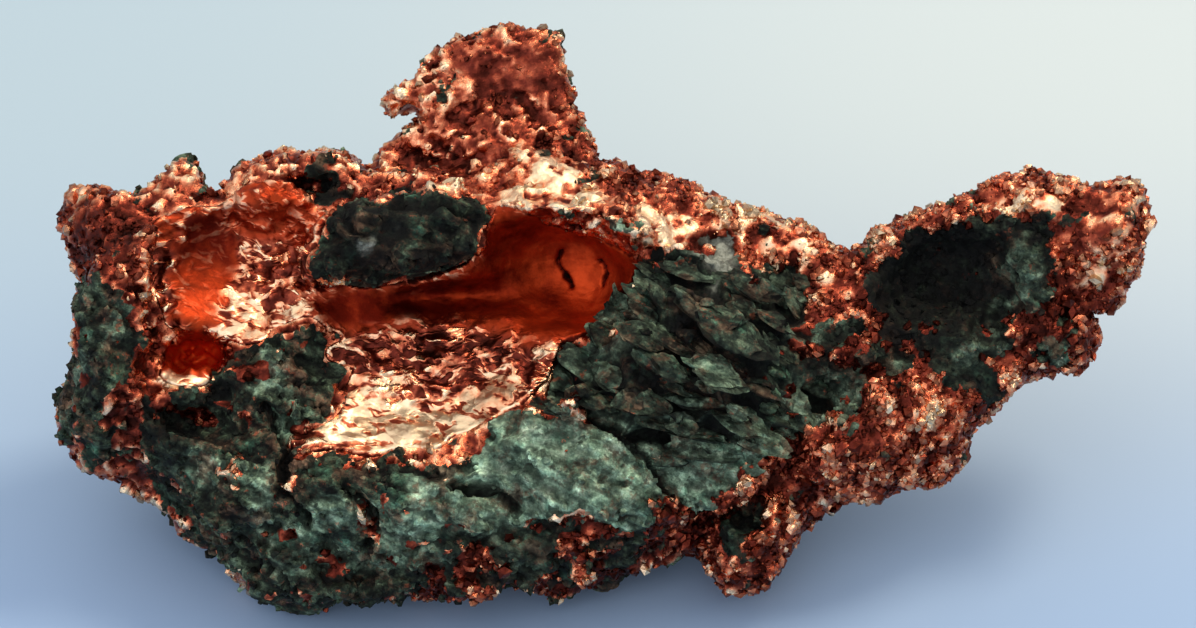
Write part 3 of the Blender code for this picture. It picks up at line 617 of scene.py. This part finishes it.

# Painted light on the lining: the deep red wall stands partly for copper reflecting copper; shadow darkens
# the wall, more to the left, and glow lifts a lit spot in it; the orange patch is painted shade towards its
# top, the edge is shaded, and the cavity darkens the folds' hollows and pales their crests.
red = np.maximum.reduce([wall, outlineWeight(linedFace, nook, 0.3), 0.85 * orange, 0.5 * upperLeft])
glow = smoothStep(2.4, 0.4, np.hypot(linedFace[:, 0] + 1.2, 0.7 * (linedFace[:, 2] - 19.2)))
shadow = 0.24 + 0.2 * smoothStep(-4.0, -11.0, linedFace[:, 0]) + 0.2 * noiseAt(linedFace, 1.6, 90.0)
shadow = wall * (shadow - 0.24 * glow)
orangeShade = orange * np.clip(0.12 + 0.1 * (linedFace[:, 2] - 19.0), 0, 0.5)
edgeShade = 0.8 * smoothStep(1.0, 0.8, within) * (1 - lip)
liningCavity = cavityOf(lined, 4) * smoothStep(0.85, 1.0, within) * (1 - lip)
liningLooks = {
    "red": red * (1 - lip), "dark": np.maximum.reduce([shadow, orangeShade, wallCrack, edgeShade]),
    "cleanAndSheen": shine, "cavity": liningCavity,
}
for name, values in liningLooks.items():
    setAttribute(lined, name, values)
applyModifier(lined, "SOLIDIFY", thickness=liningSettings["thick"] * mm, offset=-1)
print("lining", len(lined.data.polygons), "quads, cavity", np.percentile(liningCavity, [2, 50, 98]).round(3))


# Places on the skin, more of them where the weights are greater, with the way outwards and a nearby point.
def scatterPlaces(amount, weights, chance):
    mesh = skin.data
    corners = quadsOf(mesh)
    area = np.empty(len(mesh.polygons))
    mesh.polygons.foreach_get("area", area)
    share = np.cumsum(area * weights[corners].mean(1))
    picks = np.searchsorted(share, chance.random(amount) * share[-1])
    mix = chance.dirichlet(np.ones(4), amount)
    places = (skinPoints[corners[picks]] * mix[:, :, None]).sum(1)
    outward = normals[corners[picks]].mean(1)
    return places, outward / np.linalg.norm(outward, axis=1)[:, None], corners[picks][:, 0]


def icoShape(subdivisions):
    bpy.ops.mesh.primitive_ico_sphere_add(subdivisions=subdivisions, radius=1)
    single = bpy.context.object
    base = np.array([v.co[:] for v in single.data.vertices])
    faces = np.array([p.vertices[:] for p in single.data.polygons])
    bpy.data.objects.remove(single)
    return base, faces


# Grains and smaller crumbs lie on the copper, rubble on the rock. Radii in mm, lift in radii.
scatterSettings = {
    "copperGrains": {"amount": 7800, "radius": (0.12, 0.38), "lift": 0.0, "seed": 5},
    "copperCrumbs": {"amount": 8600, "radius": (0.06, 0.17), "lift": 0.15, "seed": 8},
    "rockRubble": {"amount": 5600, "radius": (0.08, 0.32), "lift": -0.1, "seed": 11},
}


def scatterGrains(name, weights):
    settings = scatterSettings[name]
    amount = settings["amount"]
    smallest, largest = settings["radius"]
    chance = np.random.default_rng(settings["seed"])
    places, outward, source = scatterPlaces(amount, weights, chance)
    base, faces = icoShape(1)
    sizes = smallest + (largest - smallest) * chance.random(amount) ** 2
    shapes = base[None] * (1 + 0.5 * (chance.random((amount, len(base), 1)) - 0.5))
    shapes = shapes * (0.6 + 0.8 * chance.random((amount, 1, 3)))
    spins = np.linalg.qr(chance.normal(size=(amount, 3, 3)))[0]
    spins[:, :, 0] *= np.sign(np.linalg.det(spins))[:, None]
    shapes = np.einsum("nij,nvj->nvi", spins, shapes) * (sizes * mm)[:, None, None]
    centres = places + outward * (sizes * settings["lift"] * mm)[:, None]
    allPoints = (shapes + centres[:, None]).reshape(-1, 3)
    allPoints[:, 2] = np.maximum(allPoints[:, 2], 0.02 * mm)  # kept off the ground
    allFaces = (faces[None] + (np.arange(amount) * len(base))[:, None, None]).reshape(-1, 3)
    thing = newPiece(name, allPoints, allFaces)
    setAttribute(thing, "tint", np.repeat(chance.random(amount), len(base)))
    # These carry the skin's painted shade and highlight onto the grains, with its dark rock.
    for attribute, values in (("dark", dark), ("cavity", skinCavity), ("cleanAndSheen", cleanAndSheen), ("pale", pale)):
        setAttribute(thing, attribute, np.repeat(values[source], len(base)))
    print(name, len(allFaces), "faces")
    return thing


offGround = points[:, 2] > 0.7 * mm
patchy = 0.2 + smoothStep(-0.15, 0.35, noiseAt(face, 2.0, 14.0))
loose = copper * (0.1 + 0.9 * crumbly ** 1.5) * (1 - 0.9 * cleanAndSheen) * (1 - 0.8 * plates) * offGround
grains = scatterGrains("copperGrains", loose * patchy * smoothStep(0.15, -0.05, skinCavity))
crumbs = scatterGrains("copperCrumbs", loose + 0.1 * copper * (1 - cleanAndSheen) * offGround)
bare = rock * (1 - layered) * (1 - 0.7 * outlineWeight(face, paleBand))
bare *= (1 - 0.8 * lump) * (1 - white) * offGround
rubble = scatterGrains("rockRubble", bare)

# Lens-shaped leaves of rock: place along and up the face, half length and half width in mm, turn in degrees.
bigLeaves = [
    (3.4, 19.6, 1.7, 0.6, -30), (5.6, 18.2, 1.9, 0.4, -38), (7.4, 17.2, 2.4, 0.9, -32),
    (3.9, 16.7, 1.7, 0.6, -30), (6.5, 14.7, 1.9, 0.8, -26), (2.0, 16.9, 1.3, 0.6, -28),
    (8.4, 19.6, 1.5, 0.4, -28), (7.9, 19.9, 2.4, 0.5, -12), (10.8, 20.3, 1.3, 0.8, -42),
    (5.2, 13.3, 2.1, 0.6, -8), (8.0, 11.9, 1.6, 0.7, -22), (5.6, 11.2, 1.9, 0.4, -10),
    (2.0, 13.0, 1.6, 0.6, -6), (0.7, 14.5, 1.4, 0.6, -22), (-1.3, 15.3, 1.6, 0.7, -38),
    (-0.9, 13.3, 1.3, 0.5, -20), (9.1, 13.9, 1.3, 0.5, -26), (10.2, 16.0, 1.3, 0.5, -32),
    (5.6, 10.4, 2.3, 0.6, -6), (2.6, 18.4, 1.6, 0.6, -42), (1.3, 18.8, 1.2, 0.8, -48),
    (0.1, 16.8, 1.2, 0.6, -42), (9.9, 17.7, 1.3, 0.4, -32), (5.0, 20.8, 1.6, 0.6, -14),
    (11.4, 18.8, 1.2, 0.5, -60), (9.1, 10.7, 1.8, 0.5, -14), (-2.7, 14.3, 1.2, 0.5, -44),
    (2.9, 15.4, 1.5, 0.5, -30), (3.8, 15.0, 1.2, 0.4, -30), (5.5, 16.2, 1.3, 0.3, -34),
    (3.1, 11.9, 1.5, 0.4, -12), (10.9, 13.2, 1.2, 0.5, -30), (11.6, 11.9, 1.2, 0.5, -34),
    (12.4, 13.9, 1.0, 0.5, -20), (9.9, 15.0, 1.0, 0.4, -34),
]
leafSettings = {
    "thick": (0.14, 0.24), "tilt": (30, 52),  # least and most, in mm and degrees
    "extras": 60, "extraLength": (0.4, 1.3), "extraWidth": (0.3, 0.5),  # half length, and its share across
    "extraTurn": -27, "turnSpread": 18,
    "palerBelow": (13.0, 10.0),  # up the face, where leaves start to pale and where they are palest
    "seed": 21,
}
chance = np.random.default_rng(leafSettings["seed"])
skinTree = BVHTree.FromPolygons(toFace(skinPoints).tolist(), quadsOf(skin.data).tolist())
leafWeight = outlineWeight(face, leafZone, 0.2) * front * (1 - lining)
leafWeight *= 1 - lineWeight(face, rockCracks, 0.4, 0.9)
extraPlaces = toFace(scatterPlaces(leafSettings["extras"], leafWeight, chance)[0])
leafList = list(bigLeaves)
for x, _, z in extraPlaces:
    size = chance.uniform(*leafSettings["extraLength"])
    width = size * chance.uniform(*leafSettings["extraWidth"])
    turn = leafSettings["extraTurn"] + chance.normal() * leafSettings["turnSpread"]
    leafList.append((x, z, size, width, turn))
base, faces = icoShape(3)
leafPoints, leafTint, leafUndersideShade, leafPale = [], [], [], []
for index, (x, z, halfLength, halfWidth, turn) in enumerate(leafList):
    hit = skinTree.ray_cast(Vector((x, -20, z)), Vector((0, 1, 0)))[0]
    slope = math.radians(turn)
    tilt = math.radians(chance.uniform(*leafSettings["tilt"]))
    along = np.array((math.cos(slope), 0, math.sin(slope)))
    upFace = np.array((-math.sin(slope), 0, math.cos(slope)))
    normal = np.array((0, -1, 0)) * math.cos(tilt) + upFace * math.sin(tilt)
    across = np.cross(normal, along)
    thick = chance.uniform(*leafSettings["thick"]) * (0.6 + 0.25 * halfLength)
    ripple = np.array([noise.noise(Vector(v) * 1.3 + Vector((index * 3.1, 0, 0))) for v in base])
    chipTilt, chipStep = chipsAt(base * (1, 1.6, 1), 0.62, index * 2.3)
    chip = 0.9 * chipTilt + 0.4 * chipStep
    flat = base / np.maximum(np.abs(base).max(axis=1), 1e-6)[:, None] ** np.array((0.15, 0.15, 0.75))
    flat[:, 2] *= np.clip(1.25 - (base[:, 0] ** 2 + base[:, 1] ** 2), 0.25, 1)
    shape = flat * (1 + 0.42 * ripple + 0.22 * chip)[:, None]
    shape[:, 1] *= 1 - 0.5 * np.abs(base[:, 0]) ** 2
    shape *= np.array((halfLength, halfWidth / math.cos(tilt) * 1.25, thick))
    bulge = 0.08 * chip + 0.1 * noise.noise(Vector((index * 1.7, 4.0, 0.0)))
    shape[:, 2] += 0.1 * halfLength * (np.sin(2.2 * base[:, 1] + index) - 1.2 * base[:, 0] ** 2) + bulge
    centre = np.array(hit) + np.array((0, -0.1, 0)) - across * 0.15 * halfWidth
    leafPoints.append(shape @ np.array((along, across, normal)) + centre)
    leafTint.append(np.full(len(base), chance.random()))
    leafPale.append(np.full(len(base), 0.4 * float(smoothStep(*leafSettings["palerBelow"], z))))
    # Painted shade: darker on each leaf's underside.
    leafUndersideShade.append(smoothStep(0.2, -0.6, base[:, 2] + 0.5 * base[:, 1]))
leafWorld = np.concatenate(leafPoints) @ np.array(faceToWorld)[:3, :3].T + np.array(faceToWorld)[:3, 3]
leafFaces = (faces[None] + (np.arange(len(leafList)) * len(base))[:, None, None]).reshape(-1, 3)
leaves = newPiece("rockLeaves", leafWorld, leafFaces)
setAttribute(leaves, "pale", 0.1 + 0.5 * np.concatenate(leafTint) ** 2 + np.concatenate(leafPale))
# Dark here is painted shade on the undersides, over a little dark tone.
setAttribute(leaves, "dark", 0.25 + 0.7 * np.concatenate(leafUndersideShade))
setAttribute(leaves, "cavity", 0.5 * cavityOf(leaves, 2))
print("leaves", len(leaves.data.polygons), "faces")


# Gives an input its value, or the output that feeds it.
def feed(socket, value):
    if isinstance(value, bpy.types.NodeSocket):
        socket.id_data.links.new(value, socket)
    else:
        socket.default_value = value


# Adds a node with its inputs, its settings and a ramp's stops, and gives back one of its outputs.
def addNode(tree, kind, inputs=(), output=0, stops=(), **settings):
    node = tree.nodes.new("ShaderNode" + kind)
    for name, value in settings.items():
        setattr(node, name, value)
    if stops:
        elements = node.color_ramp.elements
        while len(elements) < len(stops):
            elements.new(0.5)
        for element, (place, colour) in zip(elements, stops):
            element.position = place
            element.color = srgb(colour)
    for name, value in inputs.items() if isinstance(inputs, dict) else enumerate(inputs):
        feed(node.inputs[name], value)
    return node.outputs[output]


def newMaterial(name):
    material = bpy.data.materials.new(name)
    material.use_nodes = True
    tree = material.node_tree
    return material, partial(addNode, tree), tree.nodes["Principled BSDF"]


# Coordinates pushed about by noise, its size and reach in mm.
def warped(add, place, size, reach):
    field = add("TexNoise", {"Vector": place, "Scale": 1 / (size * mm), "Detail": 2.0}, "Color")
    push = add("VectorMath", [field, (0.5, 0.5, 0.5)], operation="SUBTRACT")
    push = add("VectorMath", {0: push, "Scale": 2 * reach * mm}, operation="SCALE")
    return add("VectorMath", [place, push], operation="ADD")


# Coordinates drawn out along a direction in the broad face.
def stretched(add, place, degrees, stretch):
    axes = faceToWorld.to_3x3().normalized() @ Matrix.Rotation(-math.radians(degrees), 3, "Y")
    turn = axes.to_euler()
    return add("Mapping", {"Vector": place, "Rotation": turn, "Scale": stretch}, vector_type="TEXTURE")


# Grit of this size in mm. Real grit is finer, and is drawn as coarse as it needs to show.
def gritBump(add, place, size, strength):
    grit = add("TexNoise", {"Vector": place, "Scale": 1 / (size * mm), "Detail": 5, "Roughness": 0.65})
    return add("Bump", {"Height": grit, "Strength": strength, "Distance": 0.2 * mm})


# Fine flat facets of this size in mm, each tilted its own way, as on crystals and broken rock.
def facetBump(add, place, size, steepness, before, strength=1.0):
    middle = add("TexVoronoi", {"Vector": place, "Scale": 1 / (size * mm)}, "Position")
    away = add("VectorMath", [place, middle], operation="SUBTRACT")
    lean = add("VectorMath", [middle.node.outputs["Color"], (0.5, 0.5, 0.5)], operation="SUBTRACT")
    lift = add("VectorMath", [away, lean], "Value", operation="DOT_PRODUCT")
    return add("Bump", {"Height": lift, "Normal": before, "Strength": strength, "Distance": 2 * steepness})


# Native copper: cream and pink where it is freshly bare, and where highlight is painted on crests and clean
# places; tarnished brown to maroon, darkest in its hollows with painted shade.
copperTones = [
    (0.08, "#ffe2ba"), (0.26, "#ffc296"), (0.38, "#e2855e"),
    (0.5, "#a34d36"), (0.64, "#6d2c21"), (0.9, "#3a1812"),
]


def copperLook(add, place, cavityGain=1.6, extra=0.0):
    spots = add("TexNoise", {"Vector": place, "Scale": 1 / (1.4 * mm), "Detail": 6, "Roughness": 0.65})
    clouds = add("TexNoise", {"Vector": place, "Scale": 1 / (4.5 * mm), "Detail": 3, "Roughness": 0.6})
    tarnishShadeAndSheen = add("Math", [spots, add("MapRange", [clouds, 0.3, 0.7, -0.18, 0.18])], operation="ADD")
    darker, cavity, cleanAndSheen = (
        add("Attribute", output="Fac", attribute_name=name) for name in ("dark", "cavity", "cleanAndSheen")
    )
    # Painted light: painted shade from the dark attribute and the cavities, painted highlight on crests and
    # clean places.
    for weight, gain in ((darker, 0.34), (cavity, cavityGain), (cleanAndSheen, -0.42)):
        tarnishShadeAndSheen = add("Math", [weight, gain, tarnishShadeAndSheen], operation="MULTIPLY_ADD")
    tarnishShadeAndSheen = add("Math", [tarnishShadeAndSheen, extra], operation="ADD")
    rough = add("MapRange", [tarnishShadeAndSheen, 0.3, 0.95, 0.2, 0.42])
    rough = add("Math", [cleanAndSheen, 0.14, rough], operation="MULTIPLY_ADD")
    return add("ValToRGB", [tarnishShadeAndSheen], stops=copperTones), rough


# Foliated chlorite rock under a chalky malachite crust: dull, mottled, streaked along its layers.
darkRock = [(0.36, "#080a07"), (0.47, "#1e261c"), (0.57, "#3d4a38"), (0.67, "#6b7a60")]
paleRock = [(0.34, "#2c3a30"), (0.46, "#5c735e"), (0.57, "#869d83"), (0.68, "#b4c3aa")]
# Its stains: colour, size in mm, detail, roughness, where in the noise each starts and is full, and how full.
rockStains = {
    "malachite": ("#447059", 2.6, 5, 0.7, 0.56, 0.66, 0.45),
    "earth": ("#5e4433", 2.2, 7, 0.75, 0.51, 0.58, 0.7),
    "rust": ("#8c4b33", 0.9, 5, 0.7, 0.62, 0.66, 0.85),
}


def rockLook(add, place):
    darker, pale, cavity = (
        add("Attribute", output="Fac", attribute_name=name) for name in ("dark", "pale", "cavity")
    )
    mottle = add("TexNoise", {"Vector": place, "Scale": 1 / (1.2 * mm), "Detail": 10, "Roughness": 0.78})
    tones = [add("ValToRGB", [mottle], stops=stops) for stops in (darkRock, paleRock)]
    colour = add("Mix", {0: pale, 6: tones[0], 7: tones[1]}, 2, data_type="RGBA")
    for name, (code, size, detail, roughness, start, full, most) in rockStains.items():
        stain = add("TexNoise", {
            "Vector": place, "Scale": 1 / (size * mm), "Detail": detail, "Roughness": roughness,
        })
        stain = add("MapRange", [stain, start, full, 0.0, most])
        if name == "rust":  # which the chalky crust hides
            stain = add("Math", [stain, add("MapRange", [pale, 0.3, 0.9, 1.0, 0.15])], operation="MULTIPLY")
        colour = add("Mix", {0: stain, 6: colour, 7: srgb(code)}, 2, data_type="RGBA")
    pits = add("TexNoise", {"Vector": place, "Scale": 1 / (0.8 * mm), "Detail": 6, "Roughness": 0.75})
    layers = stretched(add, place, -24, (3.4, 1.6, 1.0))
    streaks = add("TexNoise", {"Vector": layers, "Scale": 1 / (0.42 * mm), "Detail": 4, "Roughness": 0.6})
    cells = add("TexVoronoi", {"Vector": warped(add, place, 0.7, 0.5), "Scale": 1 / (0.5 * mm)}, "Color")
    # Painted shade: darker in hollows and lighter on crests, from the cavity; then mottled by pits, streaks
    # and cells.
    shade = add("MapRange", [cavity, -0.12, 0.12, 1.7, 0.3])
    for source, low, high, least, most in (
        (pits, 0.38, 0.58, 0.35, 1.25), (streaks, 0.36, 0.6, 0.3, 1.35),
        (add("SeparateXYZ", [cells]), 0.0, 1.0, 0.35, 1.6),
    ):
        shade = add("Math", [shade, add("MapRange", [source, low, high, least, most])], operation="MULTIPLY")
    evened = add("Math", [pale, 0.25], operation="MULTIPLY")
    shade = add("Mix", {0: evened, 2: shade, 3: 0.8}, data_type="FLOAT")
    # Darker by the dark attribute, which holds painted shade as well as dark rock.
    shade = add("Math", [shade, add("MapRange", [darker, 0.0, 1.0, 1.05, 0.1])], operation="MULTIPLY")
    return add("VectorMath", {0: colour, "Scale": shade}, operation="SCALE")


def finish(shader, colour, metal, rough, normal, gloss=0.5):
    feed(shader.inputs["Base Color"], colour)
    feed(shader.inputs["Metallic"], metal)
    feed(shader.inputs["Roughness"], rough)
    feed(shader.inputs["Normal"], normal)
    shader.inputs["Specular IOR Level"].default_value = gloss


# Native copper crumbled into grains: each has its own tint and flat faces that catch the light.
def grainMaterial():
    material, add, shader = newMaterial("crumbledCopper")
    place = add("TexCoord", output="Object")
    colour, rough = copperLook(add, place)
    tint = add("Attribute", output="Fac", attribute_name="tint")
    tint = add("Math", [tint, 1.6], operation="POWER")
    tint = add("MapRange", [tint, 0.0, 1.0, 0.4, 1.18])
    colour = add("VectorMath", {0: colour, "Scale": tint}, operation="SCALE")
    finish(shader, colour, 1.0, rough, gritBump(add, place, 0.3, 0.4))
    return material


# Thin native copper sheet, crumpled: deep red where it is smooth, partly painted reflection and shade, cream
# along its folds, a painted highlight.
# Its two sets of folds, drawn as bumps and as painted highlight strokes: turn in degrees, stretch, size in mm
# and shift.
foilStrokes = [(-30, (3.0, 1.5, 0.8), 0.62, 0.0), (12, (2.6, 1.5, 0.9), 0.8, 0.05)]
deepTones = [(0.0, "#c8461f"), (0.45, "#66170b"), (1.0, "#0d0605")]  # from lit to shaded


def liningMaterial():
    material, add, shader = newMaterial("crumpledCopper")
    place = add("TexCoord", output="Object")
    red, cleanAndSheen, darker = (
        add("Attribute", output="Fac", attribute_name=name) for name in ("red", "cleanAndSheen", "dark")
    )
    strokes = []
    for degrees, stretch, size, shift in foilStrokes:
        moved = add("VectorMath", [warped(add, place, 1.6, 0.6), (shift,) * 3], operation="ADD")
        moved = stretched(add, moved, degrees, stretch)
        strokes.append(add("TexNoise", {
            "Vector": moved, "Scale": 1 / (size * mm), "Detail": 2.5, "Roughness": 0.6,
        }))
    field = add("Math", strokes, operation="MAXIMUM")
    field = add("Math", [field, add("MapRange", [cleanAndSheen, 0.1, 0.9, -0.06, 0.03])], operation="ADD")
    line = add("MapRange", [field, 0.47, 0.56, 0.0, 1.0], interpolation_type="SMOOTHSTEP")
    # Painted highlight: paler along the strokes, so the folds' crests look lit.
    foldHighlight = add("Math", [
        add("MapRange", [line, 0.0, 1.0, 0.2, -0.2]), add("MapRange", [cleanAndSheen, 0.0, 1.0, 0.0, 0.26]),
    ], operation="ADD")
    colour, rough = copperLook(add, place, 2.4, foldHighlight)
    # The smooth red wall: its painted shade picks the deep red from lit to shaded, with a cloudy tone.
    clouds = add("TexNoise", {"Vector": place, "Scale": 1 / (0.8 * mm), "Detail": 5, "Roughness": 0.6})
    depth = add("Math", [darker, add("MapRange", [clouds, 0.3, 0.7, -0.12, 0.12])], operation="ADD")
    deep = add("ValToRGB", [depth], stops=deepTones)
    crumpled = add("Math", [
        add("MapRange", [red, 0.0, 1.0, 1.0, 0.1]), add("MapRange", [cleanAndSheen, 0.0, 1.0, 1.0, 0.45]),
    ], operation="MULTIPLY")
    normal = add("Bump", {
        "Height": line, "Strength": add("Math", [crumpled, 0.7], operation="MULTIPLY"),
        "Normal": gritBump(add, place, 0.3, 0.2), "Distance": 0.12 * mm,
    })
    creased = stretched(add, warped(add, place, 1.6, 0.5), -24, (2.2, 1.4, 0.9))
    normal = facetBump(add, creased, 0.8, 0.42, normal, crumpled)
    colour = add("Mix", {0: red, 6: colour, 7: deep}, 2, data_type="RGBA")
    rough = add("Mix", {0: red, 2: rough, 3: 0.5}, data_type="FLOAT")
    finish(shader, colour, 1.0, rough, normal)
    return material


# Broken rock: matt, with small facets.
def rockMaterial():
    material, add, shader = newMaterial("greenRock")
    place = add("TexCoord", output="Object")
    normal = facetBump(add, place, 0.45, 0.5, gritBump(add, place, 0.45, 0.6))
    finish(shader, rockLook(add, place), 0.0, 0.8, normal, 0.2)
    return material


# Copper and rock grown through each other, with a ragged border, and chalky white calcite in two places.
def skinMaterial():
    material, add, shader = newMaterial("copperAndRock")
    place = add("TexCoord", output="Object")
    rockHere, white, cleanAndSheen = (
        add("Attribute", output="Fac", attribute_name=name) for name in ("rock", "white", "cleanAndSheen")
    )
    copperColour, rough = copperLook(add, place)
    border = add("TexNoise", {"Vector": place, "Scale": 1 / (0.6 * mm), "Detail": 5, "Roughness": 0.7})
    border = add("Math", [rockHere, add("MapRange", [border, 0.3, 0.7, -0.45, 0.45])], operation="ADD")
    split = add("MapRange", [border, 0.45, 0.55, 0.0, 1.0])
    chalky = add("TexNoise", {"Vector": place, "Scale": 1 / (0.6 * mm), "Detail": 6, "Roughness": 0.7})
    chalky = add("Math", [white, add("MapRange", [chalky, 0.4, 0.6, 0.25, 0.9])], operation="MULTIPLY")
    rockColour = add("Mix", {0: chalky, 6: rockLook(add, place), 7: srgb("#b2b7a8")}, 2, data_type="RGBA")
    facets = add("MapRange", [cleanAndSheen, 0.0, 1.0, 0.6, 0.3])
    facets = add("Mix", {0: split, 2: facets, 3: 1.0}, data_type="FLOAT")
    normal = facetBump(add, place, 0.36, 0.45, gritBump(add, place, 0.4, 0.5), facets)
    colour = add("Mix", {0: split, 6: copperColour, 7: rockColour}, 2, data_type="RGBA")
    rough = add("Mix", {0: split, 2: rough, 3: 0.8}, data_type="FLOAT")
    finish(shader, colour, add("Math", [1.0, split], operation="SUBTRACT"), rough, normal, 0.2)
    return material


crumbled = grainMaterial()
rocky = rockMaterial()
for thing, material, smooth, slotName in (
    (skin, skinMaterial(), True, "native_copper"),
    (lined, liningMaterial(), True, "native_copper"),
    (grains, crumbled, False, "native_copper"),
    (crumbs, crumbled, False, "native_copper"),
    (rubble, rocky, False, "green_rock"),
    (leaves, rocky, False, "green_rock"),
):
    thing.data.materials.clear()
    thing.data.materials.append(material)
    thing.data.polygons.foreach_set("use_smooth", [smooth] * len(thing.data.polygons))
    thing.data.update()
    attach(thing, "root")
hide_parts("copper_nugget")
print("finishes", len(bpy.data.materials))

# Floor, camera and lamps. The floor's colours run from left to right, near and far: painted light falloff and
# shade, darker and bluer near, darker on the left far off. Metres, aim in mm.
studio = {
    "floorSize": 3, "floorNear": ("#99b4d6", "#9ab5d5"), "floorFar": ("#afc4cf", "#cad6d7"),
    "falloffAlong": (-52, 46), "falloffDeep": (-24, 48),  # mm, where the floor's colour changes
    "distance": 0.30, "width": 0.0706, "aim": (-0.46, 0.0, 18.1),
    "lamps": {  # place, watts, size, colour
        "softbox": ((0.10, 0.16, 0.60), 3.5, 1.50, "#fff4e4"),
        "window": ((0.22, 0.14, 0.49), 1.15, 0.16, "#ffeed6"),
        "fill": ((-0.35, -0.5, 0.4), 2.9, 1.0, "#e2e6f2"),
    },
    "lampAim": (0, 0, 0.01), "room": "#d0d2d8", "roomStrength": 0.86,
}
bpy.ops.mesh.primitive_plane_add(size=studio["floorSize"], location=(0, 0, 0))
floor = bpy.context.object
floor.name = "floor"
# Matt paper: one colour blending softly into the next, with no pattern; the blend is painted light falloff
# and shade.
paper, add, shader = newMaterial("paperFloor")
xyz = add("SeparateXYZ", [add("TexCoord", output="Object")]).node.outputs
along, deep = (
    add("MapRange", [xyz[axis], start * mm, end * mm], interpolation_type="SMOOTHERSTEP")
    for axis, (start, end) in (("X", studio["falloffAlong"]), ("Y", studio["falloffDeep"]))
)
leftFalloff, rightFalloff = (
    add("ValToRGB", [deep], stops=[(0.0, near), (1.0, far)])
    for near, far in zip(studio["floorNear"], studio["floorFar"])
)
paintedFalloff = add("Mix", {0: along, 6: leftFalloff, 7: rightFalloff}, 2, data_type="RGBA")
feed(shader.inputs["Base Color"], paintedFalloff)
shader.inputs["Roughness"].default_value = 0.9
floor.data.materials.append(paper)

aim = faceToWorld @ Vector(studio["aim"])
viewUp = Vector((0, math.sin(leanBack), math.cos(leanBack)))
viewBack = Vector((0, -math.cos(leanBack), math.sin(leanBack)))
camera = bpy.data.objects.new("camera", bpy.data.cameras.new("camera"))
bpy.context.collection.objects.link(camera)
camera.data.lens = camera.data.sensor_width * studio["distance"] / studio["width"]
camera.data.clip_start = 0.01
camera.location = aim + viewBack * studio["distance"]
camera.rotation_euler = Matrix((Vector((1, 0, 0)), viewUp, viewBack)).transposed().to_euler()
bpy.context.scene.camera = camera

for name, (place, watts, size, colour) in studio["lamps"].items():
    lamp = bpy.data.objects.new(name, bpy.data.lights.new(name, "AREA"))
    bpy.context.collection.objects.link(lamp)
    lamp.data.energy = watts
    lamp.data.size = size
    lamp.data.color = srgb(colour)[:3]
    lamp.location = place
    lamp.rotation_euler = (Vector(studio["lampAim"]) - Vector(place)).to_track_quat("-Z", "Y").to_euler()
world = bpy.data.worlds.new("room")
bpy.context.scene.world = world
world.use_nodes = True
world.node_tree.nodes["Background"].inputs["Color"].default_value = srgb(studio["room"])
world.node_tree.nodes["Background"].inputs["Strength"].default_value = studio["roomStrength"]
bpy.context.scene.view_settings.view_transform = "Standard"
print("studio", len(studio["lamps"]), "lamps")
